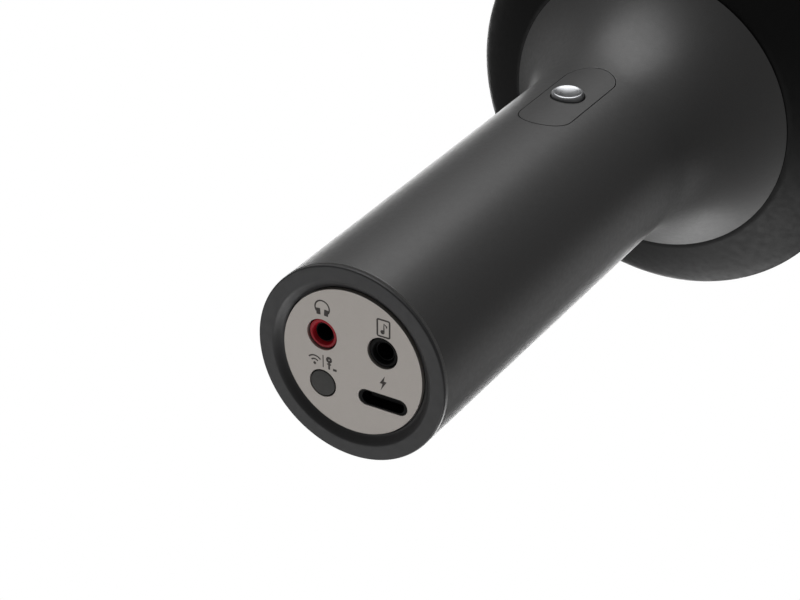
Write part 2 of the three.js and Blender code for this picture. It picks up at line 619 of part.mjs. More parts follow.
function speakerFrame() {
  const base = ring(POST_R + POST_WALL, RIM_R - BOWL_WALL - GAP, HEAD_FLOOR_Z, HEAD_FLOOR_Z + FRAME_BASE_T);
  const roofR = BAND_TOP_R - BAND_WALL - 2;
  const roof = ring(POST_R + POST_WALL, roofR, HEAD_CEILING_Z - FRAME_BASE_T, HEAD_CEILING_Z);
  const baffles = [-1, 1].map((side) => {
    const [low, high] = side < 0 ? [-BAFFLE_X, BAFFLE_T - BAFFLE_X] : [BAFFLE_X - BAFFLE_T, BAFFLE_X];
    const plate = block([low, -BAFFLE_HALF_W, HEAD_FLOOR_Z + 1], [high, BAFFLE_HALF_W, HEAD_CEILING_Z - 1]);
    const opening = disc(DRIVER_HOLE_R, BAFFLE_X - 2 * BAFFLE_T, BAFFLE_X + BAFFLE_T);
    const hole = facingSide(opening, side, DRIVER_Z);
    return plate.subtract(hole);
  });
  const columns = DECK_SCREW_SPOTS.map(([x, y]) =>
    shifted(disc(HEAD_SCREW.boss, HEAD_FLOOR_Z + 1, HEAD_CEILING_Z, SMALL_FACETS / 2), x, y));
  const pilots = DECK_SCREW_SPOTS.map(([x, y]) =>
    shifted(disc(HEAD_SCREW.pilot, HEAD_CEILING_Z - HEAD_SCREW.length, DECK_Z, SCREW_FACETS), x, y));
  const whole = [...baffles, ...columns].reduce((body, piece) => body.add(piece), base.add(roof));
  const bowlScrews = THREE_AROUND.map((angle) => shifted(
    disc(HEAD_SCREW.boss, HEAD_FLOOR_Z - 1, HEAD_FLOOR_Z + 2 * FRAME_BASE_T, SCREW_FACETS),
    ...around(BOWL_SCREW_R, angle)));
  return [...pilots, ...bowlScrews].reduce((body, hole) => body.subtract(hole), whole);
}

const DECK_SCREW_SPOTS = [[0, -27], [0, 27]];
place("speaker_frame", speakerFrame(), FRAME_PLASTIC);

// One driver, made on +Z as the way it faces and turned to its side.
function driver(side, hand) {
  const facets = SMALL_FACETS;
  const put = (name, outline, finish) =>
    place(`speaker_${name}_${hand}`, facingSide(turned(outline, facets), side, DRIVER_Z), finish);
  const seat = BAFFLE_X + GAP;
  const front = seat + DRIVER_FLANGE_T;
  const back = seat - BASKET_DEPTH;
  const throatR = DRIVER_HOLE_R - GAP;
  const openR = CONE_R + 1;
  put("basket", [
    [openR, front], [DRIVER_R, front], [DRIVER_R, seat], [throatR, seat], [MAGNET_R, back],
    [MAGNET_GAP_R, back], [MAGNET_GAP_R, back + BASKET_WALL], [MAGNET_R - BASKET_WALL, back + BASKET_WALL],
    [throatR - BASKET_WALL, seat - GAP],
  ], STEEL);
  const magnetTop = back - GAP;
  const magnetFoot = magnetTop - MAGNET_T;
  put("magnet", [
    [0, magnetFoot], [MAGNET_R, magnetFoot], [MAGNET_R, magnetTop], [MAGNET_GAP_R, magnetTop],
    [MAGNET_GAP_R, magnetFoot + BASKET_WALL * 2], [POLE_R, magnetFoot + BASKET_WALL * 2], [POLE_R, magnetTop],
    [0, magnetTop],
  ], STEEL);
  const coilFoot = magnetFoot + BASKET_WALL * 2 + 3;
  const neck = front - CONE_DEPTH;
  const halfWall = CONE_T / 4;
  put("cone", [
    [0, neck + 2], [COIL_R - 1, neck + CONE_T], [COIL_R - halfWall, neck], [COIL_R - halfWall, coilFoot],
    [COIL_R + halfWall, coilFoot], [COIL_R + halfWall, neck], [CONE_R, front - CONE_T], [CONE_R, front],
    [COIL_R + CONE_T, neck + CONE_T * 2], [COIL_R - 1, neck + CONE_T * 2], [0, neck + 2 + CONE_T],
  ], PAPER_CONE);
  const roll = Array.from({ length: 5 }, (_, i) => {
    const turn = (Math.PI * i) / 4;
    const middle = openR - GAP + ROLL_W / 2;
    return [middle - (ROLL_W / 2) * Math.cos(turn), front + GAP + ROLL_H * Math.sin(turn)];
  });
  put("surround", roll, RUBBER);
}

driver(-1, "left");
driver(1, "right");

// ---------------------------------------------------------------- top deck, mesh dome and capsule

const collarBore = COLLAR_R - COLLAR_WALL;
const deckFloorTop = DECK_Z + DECK_FLOOR_T;
const leadHoleR = POST_R - POST_WALL;
const topDeck = DECK_SCREW_SPOTS.reduce(
  (deck, [x, y]) => deck.subtract(
    shifted(disc(HEAD_SCREW.clearance, DECK_Z - 1, deckFloorTop + 1, SCREW_FACETS), x, y)),
  turned([
    [leadHoleR, DECK_Z], [DECK_R, DECK_Z], [DECK_R, DECK_Z + 1.6], [DECK_FLAT_R, DECK_FLAT_Z],
    [COLLAR_R, DECK_FLAT_Z], [COLLAR_R, DECK_FLAT_Z + COLLAR_H], [collarBore, DECK_FLAT_Z + COLLAR_H],
    [collarBore, deckFloorTop], [leadHoleR, deckFloorTop],
  ]),
);
place("top_deck", topDeck, BLACK_PLASTIC);
DECK_SCREW_SPOTS.forEach(([x, y], i) => {
  const seat = deckFloorTop + GAP / 3;
  const deckScrew = screw(x, y, seat, HEAD_SCREW.length, HEAD_SCREW.head, HEAD_SCREW.shank);
  place(`deck_screw_${i + 1}`, deckScrew, STEEL);
});

const gasket = ring(COLLAR_R + 2 * GAP, DECK_FLAT_R - 4 * GAP, GASKET_Z, GASKET_Z + GASKET_T);
place("grille_gasket", gasket, RUBBER);

const ringTop = RING_Z + RING_H;
const ringR = DOME_R + GAP + RING_LIP_T;
place("grille_ring", turned([
  [COLLAR_R + GAP, RING_Z], [ringR, RING_Z], [ringR, ringTop], [DOME_R + GAP, ringTop],
  [DOME_R + GAP, ringTop - RING_SEAT], [COLLAR_R + GAP, ringTop - RING_SEAT],
]), SILVER);

// A shell under half an ellipse, standing on the height of the dome's foot.
function domeShell(radius, height, thickness, steps, facets) {
  const arc = (r, h) => Array.from({ length: steps + 1 }, (_, i) => {
    const turn = (Math.PI / 2) * (i / steps);
    return [i === steps ? 0 : r * Math.cos(turn), DOME_Z + h * Math.sin(turn)];
  });
  return turned([...arc(radius, height), ...arc(radius - thickness, height - thickness).reverse()], facets);
}

place("mesh_dome", domeShell(DOME_R, DOME_H, DOME_WALL, DOME_STEPS, FACETS), MESH_STEEL);
const foamR = DOME_R - DOME_WALL - GAP;
place("foam_liner", domeShell(foamR, DOME_H - DOME_WALL - GAP, FOAM_T, DOME_STEPS - 2, SMALL_FACETS), FOAM);

const postFoot = deckFloorTop + GAP;
const postTop = postFoot + POST_H;
place("capsule_post", turned([
  [leadHoleR, postFoot], [POST_R + POST_WALL, postFoot], [POST_R + POST_WALL, postFoot + BULKHEAD_T],
  [POST_R, postFoot + BULKHEAD_T], [POST_R, postTop], [leadHoleR, postTop],
], SMALL_FACETS), FRAME_PLASTIC);

const cupR = CAPSULE_R + GAP + MOUNT_WALL;
const cupFoot = postTop + GAP;
place("capsule_mount", turned([
  [leadHoleR, cupFoot], [cupR, cupFoot], [cupR, cupFoot + CAPSULE_H], [CAPSULE_R + GAP, cupFoot + CAPSULE_H],
  [CAPSULE_R + GAP, cupFoot + MOUNT_WALL], [leadHoleR, cupFoot + MOUNT_WALL],
], SMALL_FACETS), RUBBER);
const capsuleFoot = cupFoot + MOUNT_WALL + GAP;
place("mic_capsule", turned([
  [0, capsuleFoot], [CAPSULE_R, capsuleFoot], [CAPSULE_R, capsuleFoot + CAPSULE_H - 1],
  [CAPSULE_R - 1, capsuleFoot + CAPSULE_H], [0, capsuleFoot + CAPSULE_H],
], SMALL_FACETS), STEEL);

// ---------------------------------------------------------------- leads

const boardTop = MAIN_BOARD_Z + MAIN_BOARD_LENGTH;
const behindBoardY = FRAME_FRONT_Y + LEAD_R;
for (const [side, hand] of [[-1, "left"], [1, "right"]])
  place(`speaker_lead_${hand}`, lead([
    [side * 20, MAGNET_R + LEAD_R + GAP, DRIVER_Z - 1], [side * 13, 13, HEAD_FLOOR_Z + 9],
    [side * 7, 5, HEAD_FLOOR_Z], [side * 6, -2, BOWL_Z - 4], [side * 5, behindBoardY, boardTop - 2],
    [side * 5, behindBoardY, boardTop - 7],
  ]), LEAD_BLACK);
place("capsule_lead", lead([
  [0, 0, capsuleFoot - GAP], [0, 0, DECK_Z], [1, -2, DRIVER_Z], [0, -5, HEAD_FLOOR_Z],
  [0, behindBoardY, boardTop], [0, behindBoardY, boardTop - 6],
]), LEAD_BLACK);

export default microphone;
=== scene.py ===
"""A handheld karaoke microphone that stands on its end cap, built piece by piece around its CAD model."""

import math

import bmesh
import bpy
from mathutils import Matrix, Vector


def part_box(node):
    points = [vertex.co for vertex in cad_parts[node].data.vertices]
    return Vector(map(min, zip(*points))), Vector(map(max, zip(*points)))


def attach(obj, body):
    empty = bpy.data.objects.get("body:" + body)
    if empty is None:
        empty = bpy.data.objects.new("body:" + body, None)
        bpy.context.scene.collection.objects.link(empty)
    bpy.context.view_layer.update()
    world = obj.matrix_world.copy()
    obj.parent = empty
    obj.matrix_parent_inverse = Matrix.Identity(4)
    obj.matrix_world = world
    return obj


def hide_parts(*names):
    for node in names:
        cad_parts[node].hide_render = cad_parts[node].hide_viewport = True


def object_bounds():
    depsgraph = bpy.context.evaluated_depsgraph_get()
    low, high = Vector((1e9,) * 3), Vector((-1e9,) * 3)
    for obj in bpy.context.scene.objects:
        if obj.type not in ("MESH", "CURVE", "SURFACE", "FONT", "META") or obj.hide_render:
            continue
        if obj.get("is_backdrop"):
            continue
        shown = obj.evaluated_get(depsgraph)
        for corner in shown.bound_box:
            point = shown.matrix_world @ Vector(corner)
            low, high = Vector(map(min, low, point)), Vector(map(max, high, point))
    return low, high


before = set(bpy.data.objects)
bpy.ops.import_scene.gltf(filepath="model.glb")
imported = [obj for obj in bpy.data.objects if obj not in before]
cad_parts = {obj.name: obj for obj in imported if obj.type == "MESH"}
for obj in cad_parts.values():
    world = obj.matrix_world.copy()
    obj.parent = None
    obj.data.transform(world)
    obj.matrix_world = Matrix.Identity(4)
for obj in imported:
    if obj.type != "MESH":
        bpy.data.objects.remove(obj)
cad_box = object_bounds()

# ------------------------------------------------------------------ camera, lights and floor
# The camera looks up at the end cap from below and to one side, with the handle and head going away from it.
# Its up is the microphone's front. Large soft lights stand round it. The floor only shows from above, and it
# fades into the white of the studio further out.

MM = 0.001
scene = bpy.context.scene
scene.view_settings.view_transform = "Standard"

CAP_AIM = Vector((0, -0.0048, 0.0178))
CAMERA_BACK = Vector((0.4451, -0.5046, -0.7398)).normalized()
CAMERA_DISTANCE = 0.4536
CAMERA_RIGHT = Vector((0, -1, 0)).cross(CAMERA_BACK).normalized()
CAMERA_UP = CAMERA_BACK.cross(CAMERA_RIGHT)


def facing(back, up):
    """The rotation of a camera or a lamp that looks along -back."""
    right = up.cross(back).normalized()
    return Matrix((right, back.cross(right), back)).transposed().to_4x4()


camera = bpy.data.objects.new("camera", bpy.data.cameras.new("camera"))
camera.data.sensor_width = 36
camera.data.lens = 108.9
camera.data.clip_start = 0.01
camera_place = Matrix.Translation(CAP_AIM + CAMERA_BACK * CAMERA_DISTANCE)
camera.matrix_world = camera_place @ facing(CAMERA_BACK, CAMERA_UP)
scene.collection.objects.link(camera)
scene.camera = camera


def softbox(name, place, aim, up, size, power):
    """A square lamp at that place, aimed at that point, with its size in metres and its power in watts."""
    lamp = bpy.data.lights.new(name, "AREA")
    lamp.size = size
    lamp.energy = power
    holder = bpy.data.objects.new(name, lamp)
    holder.matrix_world = Matrix.Translation(place) @ facing((place - aim).normalized(), up)
    scene.collection.objects.link(holder)


# Each lamp's place is an offset from the handle in metres, along the camera's right, up and back.
HANDLE_AIM = CAP_AIM + Vector((0, 0, 0.05))
for name, right, up, back, size, power in (("top_softbox", 0.0, 0.87, 0.1, 0.8, 3.9),
                                           ("plate_softbox", -0.75, -0.6, 0.1, 0.7, 1.4),
                                           ("side_softbox", -0.45, 0.35, -0.75, 0.7, 0.35),
                                           ("low_softbox", 0.0, -0.9, 0.0, 0.5, 2.35),
                                           ("far_softbox", 0.75, -0.2, -0.6, 0.5, 0.38),
                                           ("back_softbox", 0.1, -0.7, -0.6, 0.5, 1.6)):
    offset = CAMERA_RIGHT * right + CAMERA_UP * up + CAMERA_BACK * back
    softbox(name, HANDLE_AIM + offset, HANDLE_AIM, CAMERA_UP, size, power)
softbox("overhead_softbox", Vector((-0.5, 0.55, 1.15)), Vector((0, 0, 0)), Vector((0, 0, 1)), 1.0, 14.0)

world = bpy.data.worlds.new("studio")
scene.world = world
world.use_nodes = True
studio = world.node_tree
backdrop = studio.nodes["Background"]
backdrop.inputs["Color"].default_value = (1, 1, 1, 1)
backdrop.inputs["Strength"].default_value = 1.0
ambient = studio.nodes.new("ShaderNodeBackground")
ambient.inputs["Color"].default_value = (1.0, 0.99, 0.98, 1)
ambient.inputs["Strength"].default_value = 0.115
seen = studio.nodes.new("ShaderNodeLightPath")
either = studio.nodes.new("ShaderNodeMixShader")
studio.links.new(seen.outputs["Is Camera Ray"], either.inputs["Fac"])
studio.links.new(ambient.outputs["Background"], either.inputs[1])
studio.links.new(backdrop.outputs["Background"], either.inputs[2])
studio.links.new(either.outputs["Shader"], studio.nodes["World Output"].inputs["Surface"])

FLOOR_HALF = 3.0
FLOOR_GAP = 0.0002
FADE_FROM, FADE_TO = 0.25, 0.75
floor_mesh = bmesh.new()
bmesh.ops.create_grid(floor_mesh, x_segments=1, y_segments=1, size=FLOOR_HALF)
bmesh.ops.translate(floor_mesh, verts=floor_mesh.verts, vec=(0, 0, cad_box[0][2] - FLOOR_GAP))
floor = bpy.data.objects.new("floor", bpy.data.meshes.new("floor"))
floor_mesh.to_mesh(floor.data)
floor_mesh.free()
scene.collection.objects.link(floor)
floor.visible_shadow = False
floor.visible_diffuse = False
floor.visible_glossy = False
pale = bpy.data.materials.new("pale_floor")
pale.use_nodes = True
pale_nodes, pale_links = pale.node_tree.nodes, pale.node_tree.links
paint = pale_nodes["Principled BSDF"]
paint.inputs["Base Color"].default_value = (0.82, 0.82, 0.83, 1)
paint.inputs["Roughness"].default_value = 0.8
paint.inputs["Emission Color"].default_value = (1, 1, 1, 1)
paint.inputs["Emission Strength"].default_value = 0.2
clear = pale_nodes.new("ShaderNodeBsdfTransparent")
from_below = pale_nodes.new("ShaderNodeNewGeometry")
where = pale_nodes.new("ShaderNodeTexCoord")
distance = pale_nodes.new("ShaderNodeVectorMath")
distance.operation = "LENGTH"
pale_links.new(where.outputs["Object"], distance.inputs[0])
fade = pale_nodes.new("ShaderNodeMapRange")
fade.interpolation_type = "SMOOTHSTEP"
fade.inputs["From Min"].default_value, fade.inputs["From Max"].default_value = FADE_FROM, FADE_TO
pale_links.new(distance.outputs["Value"], fade.inputs["Value"])
gone = pale_nodes.new("ShaderNodeMath")
gone.operation = "MAXIMUM"
pale_links.new(from_below.outputs["Backfacing"], gone.inputs[0])
pale_links.new(fade.outputs["Result"], gone.inputs[1])
fading = pale_nodes.new("ShaderNodeMixShader")
pale_links.new(gone.outputs["Value"], fading.inputs["Fac"])
pale_links.new(paint.outputs["BSDF"], fading.inputs[1])
pale_links.new(clear.outputs["BSDF"], fading.inputs[2])
pale_links.new(fading.outputs["Shader"], pale_nodes["Material Output"].inputs["Surface"])
floor.data.materials.append(pale)
floor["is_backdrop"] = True

# ------------------------------------------------------------------ handle
# A straight aluminium tube, 40 mm across, drawn out at the top into a wide flare, and sprayed satin grey.
# A long round-ended opening for the keys is cut through its front, and its lower edge is turned bright.


def turned(outline, steps=128):
    """A body of revolution from (radius, height) points in millimetres.

    An outline that starts on the axis also ends there. Any other closes on itself.
    """
    body = bmesh.new()
    corners = [body.verts.new((radius, 0, height)) for radius, height in outline]
    sides = [body.edges.new(pair) for pair in zip(corners, corners[1:])]
    if outline[0][0] > 0:
        sides.append(body.edges.new((corners[-1], corners[0])))
    bmesh.ops.spin(body, geom=corners + sides, axis=(0, 0, 1), cent=(0, 0, 0),
                   angle=2 * math.pi, steps=steps, use_merge=True)
    bmesh.ops.remove_doubles(body, verts=body.verts, dist=0.0005)
    bmesh.ops.dissolve_degenerate(body, edges=body.edges, dist=0.0005)
    bmesh.ops.recalc_face_normals(body, faces=body.faces)
    return body


def softened(body, width, sharp=32, segments=2):
    """Rounds every edge of body that is sharper than that many degrees."""
    edges = [e for e in body.edges if e.is_manifold and e.calc_face_angle() > math.radians(sharp)]
    bmesh.ops.bevel(body, geom=edges, offset=width, offset_type="OFFSET", affect="EDGES",
                    segments=segments, profile=0.5, material=-1, clamp_overlap=True)
    return body


def carved(blank, tool, operation="DIFFERENCE"):
    """blank with tool's shape cut away, or only what they share with INTERSECT. Both are used up."""
    holders = []
    for shape in (blank, tool):
        holder = bpy.data.objects.new("blank", bpy.data.meshes.new("blank"))
        shape.to_mesh(holder.data)
        shape.free()
        scene.collection.objects.link(holder)
        holders.append(holder)
    cut = holders[0].modifiers.new("cut", "BOOLEAN")
    cut.operation = operation
    cut.solver = "EXACT"
    cut.object = holders[1]
    result = bmesh.new()
    result.from_object(holders[0], bpy.context.evaluated_depsgraph_get())
    for holder in holders:
        bpy.data.meshes.remove(holder.data)
    bmesh.ops.remove_doubles(result, verts=result.verts, dist=0.0005)
    return result


def joined(*bodies):
    """Several bodies as one bmesh. They are used up."""
    whole = bmesh.new()
    for body in bodies:
        mesh = bpy.data.meshes.new("joined")
        body.to_mesh(mesh)
        body.free()
        whole.from_mesh(mesh)
        bpy.data.meshes.remove(mesh)
    return whole


def piece(name, body, finish, rides, slot, *nodes, crease=35, flat_faces=True):
    """A bmesh in millimetres as a piece of the microphone, in place of those CAD nodes.

    flat_faces keeps the shading of large faces even beside small rounded edges.
    """
    bmesh.ops.scale(body, vec=(MM, MM, MM), verts=body.verts)
    made = bpy.data.objects.new(name, bpy.data.meshes.new(name))
    body.to_mesh(made.data)
    body.free()
    made.data.shade_smooth()
    made.data.set_sharp_from_angle(angle=math.radians(crease))
    made.data.materials.append(finish)
    scene.collection.objects.link(made)
    if flat_faces:
        made.modifiers.new("even_shading", "WEIGHTED_NORMAL").keep_sharp = True
    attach(made, rides)
    if nodes:
        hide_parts(*nodes)
    return made


def surface(name, dark, light, grain, roughness, metal=0.0, relief=0.0, stretch=(1, 1, 1), detail=4,
            **sockets):
    """A finish that drifts between two colours and two roughnesses at that grain (per metre).

    relief is the height of its fine bumps in metres, and sockets are other values of the shader.
    """
    finish = bpy.data.materials.new(name)
    finish.use_nodes = True
    nodes, links = finish.node_tree.nodes, finish.node_tree.links
    shader = nodes["Principled BSDF"]
    shader.inputs["Metallic"].default_value = metal
    for socket, value in sockets.items():
        shader.inputs[socket.replace("_", " ")].default_value = value
    where = nodes.new("ShaderNodeTexCoord")
    placed = nodes.new("ShaderNodeMapping")
    placed.name = "placed"
    placed.inputs["Scale"].default_value = stretch
    links.new(where.outputs["Object"], placed.inputs["Vector"])
    mottle = nodes.new("ShaderNodeTexNoise")
    mottle.inputs["Scale"].default_value = grain
    mottle.inputs["Detail"].default_value = detail
    links.new(placed.outputs["Vector"], mottle.inputs["Vector"])
    tint = nodes.new("ShaderNodeValToRGB")
    tint.name = "tint"
    tint.color_ramp.elements[0].position = 0.3
    tint.color_ramp.elements[0].color = (*dark, 1)
    tint.color_ramp.elements[1].position = 0.7
    tint.color_ramp.elements[1].color = (*light, 1)
    links.new(mottle.outputs["Fac"], tint.inputs["Fac"])
    links.new(tint.outputs["Color"], shader.inputs["Base Color"])
    wear = nodes.new("ShaderNodeTexNoise")
    wear.inputs["Scale"].default_value = grain / 9
    wear.inputs["Detail"].default_value = 5
    links.new(placed.outputs["Vector"], wear.inputs["Vector"])
    sheen = nodes.new("ShaderNodeMapRange")
    sheen.inputs["From Min"].default_value = 0.3
    sheen.inputs["From Max"].default_value = 0.7
    sheen.inputs["To Min"].default_value, sheen.inputs["To Max"].default_value = roughness
    links.new(wear.outputs["Fac"], sheen.inputs["Value"])
    links.new(sheen.outputs["Result"], shader.inputs["Roughness"])
    if relief:
        bump = nodes.new("ShaderNodeBump")
        bump.inputs["Distance"].default_value = relief
        bump.inputs["Strength"].default_value = 0.6
        links.new(mottle.outputs["Fac"], bump.inputs["Height"])
        links.new(bump.outputs["Normal"], shader.inputs["Normal"])
    return finish


satin_grey = surface("satin_grey_paint", (0.105, 0.105, 0.105), (0.135, 0.135, 0.135), 9000, (0.42, 0.52),
                     metal=0.45, relief=0.00001, Coat_Weight=0.15, Coat_Roughness=0.3)

PART_GAP = 0.3
HANDLE_R = 20.0
HANDLE_WALL = 1.6
handle_foot, flare_edge = (corner.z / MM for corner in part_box("handle_body"))
FLARE_FOOT = 98.0
FLARE_EDGE_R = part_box("handle_body")[1].x / MM
flare_rise = flare_edge - FLARE_FOOT
flare_arc_r = flare_rise / math.sin(2 * math.atan((FLARE_EDGE_R - HANDLE_R) / flare_rise))


def flare(depth, steps=28):
    """Points up the flare at that depth under its outer face."""
    radius = flare_arc_r + depth
    end = math.asin(flare_rise / radius)
    turns = [end * i / steps for i in range(steps + 1)]
    return [(HANDLE_R + flare_arc_r - radius * math.cos(t), FLARE_FOOT + radius * math.sin(t)) for t in turns]


def round_ended(half_width, half_length, bottom, top, sides=64):
    """A prism with round ends, long side along Y, from that bottom to that top."""
    prism = bmesh.new()
    half_step = Matrix.Rotation(math.pi / sides, 4, "Z")
    bmesh.ops.create_circle(prism, cap_ends=True, radius=half_width, segments=sides, matrix=half_step)
    for end in (-1, 1):
        half = [v for v in prism.verts if v.co.y * end > 0]
        bmesh.ops.translate(prism, verts=half, vec=(0, end * (half_length - half_width), 0))
    bmesh.ops.translate(prism, verts=prism.verts, vec=(0, 0, bottom))
    swept = bmesh.ops.extrude_face_region(prism, geom=prism.faces[:])["geom"]
    raised = [v for v in swept if isinstance(v, bmesh.types.BMVert)]
    bmesh.ops.translate(prism, verts=raised, vec=(0, 0, top - bottom))
    bmesh.ops.recalc_face_normals(prism, faces=prism.faces)
    return prism


power_low, power_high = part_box("power_button")
KEYS_Z = (power_low.z + power_high.z) / 2 / MM


def out_of_front(body):
    """Turns a body that was made pointing up to point out of the front, at the height of the keys."""
    bmesh.ops.rotate(body, verts=body.verts, matrix=Matrix.Rotation(math.pi / 2, 3, "X"))
    bmesh.ops.translate(body, verts=body.verts, vec=(0, 0, KEYS_Z))
    return body


KEY_GAP = 0.18
ROCKER_HALF_W = 5.6
ROCKER_HALF_L = 14.8
CUT_FROM, CUT_TO = 12, 24
EDGE_CUT = 0.3
EDGE_BAND = 0.04
SEAM = 0.01
edge_top = handle_foot + EDGE_CUT + EDGE_BAND
straight = [edge_top + SEAM, *(KEYS_Z + step for step in range(-20, 13, 2))]
tube = turned([*((HANDLE_R, z) for z in straight), *flare(0), *reversed(flare(HANDLE_WALL)),
               *((HANDLE_R - HANDLE_WALL, z) for z in reversed(straight))], 160)
opening = round_ended(ROCKER_HALF_W + KEY_GAP, ROCKER_HALF_L + KEY_GAP, CUT_FROM, CUT_TO)
tube = carved(tube, out_of_front(opening))
piece("handle_tube", softened(tube, 0.08, 50), satin_grey, "microphone", "gunmetal", "handle_body")

bare_aluminium = surface("bare_turned_aluminium", (0.3, 0.3, 0.3), (0.38, 0.38, 0.38), 4000, (0.3, 0.4),
                         metal=1.0, relief=0.000004)
foot_edge = turned([(HANDLE_R - HANDLE_WALL, handle_foot), (HANDLE_R - EDGE_CUT, handle_foot),
                    (HANDLE_R, handle_foot + EDGE_CUT), (HANDLE_R, edge_top),
                    (HANDLE_R - HANDLE_WALL, edge_top)], 160)
piece("handle_foot_edge", foot_edge, bare_aluminium, "microphone", "gunmetal")

# ------------------------------------------------------------------ end cap
# A moulded dark ring pushed into the handle and held by two screws from below.
# Its rim is flat where the microphone stands, then dips to a narrow groove round the sunken port plate.

soft_black = surface("moulded_dark_plastic", (0.05, 0.05, 0.052), (0.062, 0.062, 0.064), 6000, (0.42, 0.52),
                     relief=0.000012)
PLATE_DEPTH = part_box("port_plate")[0].z / MM
PLATE_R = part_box("port_plate")[1].x / MM
SEAT_R = PLATE_R + PART_GAP
SEAT_DROP = 0.6
SEAT_BACK, LEDGE_TOP = 2.1, 3.4
LEDGE_R = 13.2
RIM_INNER_R = 17.2
FLANGE = handle_foot - PART_GAP
SLEEVE_R = HANDLE_R - HANDLE_WALL - PART_GAP
SLEEVE_BORE_R = 16.6
SLEEVE_TOP = 9
dish = [(SEAT_R + (RIM_INNER_R - SEAT_R) * t, (PLATE_DEPTH + SEAT_DROP) * (0.5 + 0.5 * math.cos(math.pi * t)))
        for t in (i / 10 for i in range(11))]
cap_ring = turned([
    *dish, (HANDLE_R - 0.35, 0), (HANDLE_R - 0.13, 0.06), (HANDLE_R - 0.03, 0.18), (HANDLE_R, 0.35),
    (HANDLE_R, FLANGE), (SLEEVE_R, FLANGE), (SLEEVE_R, SLEEVE_TOP), (SLEEVE_BORE_R, SLEEVE_TOP),
    (SLEEVE_BORE_R, LEDGE_TOP), (LEDGE_R, LEDGE_TOP), (LEDGE_R, SEAT_BACK), (SEAT_R, SEAT_BACK)], 160)
piece("end_cap_ring", softened(cap_ring, 0.1, 50), soft_black, "microphone", "cap_plastic", "end_cap")

# ------------------------------------------------------------------ port plate
# A disc of warm grey anodised metal, punched with two socket holes, a button hole and a round-ended slot.
# It drops into its seat with a thin gap all round, and its symbols are printed in dark ink.


def drum(radius, bottom, top, sides=64, at=(0, 0)):
    """A plain cylinder to cut with or to build on."""
    body = bmesh.new()
    place = Matrix.Translation((*at, (bottom + top) / 2))
    bmesh.ops.create_cone(body, cap_ends=True, segments=sides, radius1=radius, radius2=radius,
                          depth=top - bottom, matrix=place)
    return body


def moved(body, x, y, z=0.0):
    """The body, shifted by those millimetres."""
    bmesh.ops.translate(body, verts=body.verts, vec=(x, y, z))
    return body


def quarter_turned(body):
    """The body, turned a quarter round the upright axis."""
    bmesh.ops.rotate(body, verts=body.verts, matrix=Matrix.Rotation(math.pi / 2, 3, "Z"))
    return body


warm_grey = surface("warm_grey_anodised", (0.52, 0.482, 0.449), (0.6, 0.56, 0.522), 14000, (0.38, 0.47),
                    metal=0.45, relief=0.000008)
plate_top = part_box("port_plate")[1].z / MM
PORT_X = 6.5
JACK_Y = -4.0
LOWER_Y = 6.5
JACK_HOLE_R = 3.2
MODE_HOLE_R = 2.86
SLOT_HALF_W = 1.65
SLOT_HALF_L = 5.25
PUNCH = 3
slot_hole = quarter_turned(round_ended(SLOT_HALF_W, SLOT_HALF_L, 0, PUNCH, 48))
holes = joined(drum(JACK_HOLE_R, 0, PUNCH, at=(-PORT_X, JACK_Y)),
               drum(JACK_HOLE_R, 0, PUNCH, at=(PORT_X, JACK_Y)),
               drum(MODE_HOLE_R, 0, PUNCH, at=(-PORT_X, LOWER_Y)), moved(slot_hole, PORT_X, LOWER_Y))
plate = carved(drum(PLATE_R, PLATE_DEPTH, plate_top, 160), holes)
piece("port_plate_disc", softened(plate, 0.09, 50), warm_grey, "microphone", "plate_metal", "port_plate")

ink = surface("dark_printing_ink", (0.045, 0.036, 0.032), (0.065, 0.052, 0.046), 9000, (0.5, 0.6))


def arc(x, y, radius, start, end, steps=14):
    """Points round (x, y) from one angle to another, in degrees."""
    turns = [math.radians(start + (end - start) * i / steps) for i in range(steps + 1)]
    return [(x + radius * math.cos(t), y + radius * math.sin(t)) for t in turns]


def rounded(x, y, half_width, half_height, corner):
    """Points round an upright rectangle with round corners."""
    across, up = half_width - corner, half_height - corner
    return [point for i, (cx, cy) in enumerate([(1, 1), (-1, 1), (-1, -1), (1, -1)])
            for point in arc(x + cx * across, y + cy * up, corner, 90 * i, 90 * i + 90, 4)]


def thickened(curve):
    """A curve with its thickness, as a bmesh. The curve is used up."""
    holder = bpy.data.objects.new(curve.name, curve)
    scene.collection.objects.link(holder)
    mesh = bpy.data.meshes.new_from_object(holder.evaluated_get(bpy.context.evaluated_depsgraph_get()))
    bpy.data.curves.remove(curve)
    body = bmesh.new()
    body.from_mesh(mesh)
    bpy.data.meshes.remove(mesh)
    return body


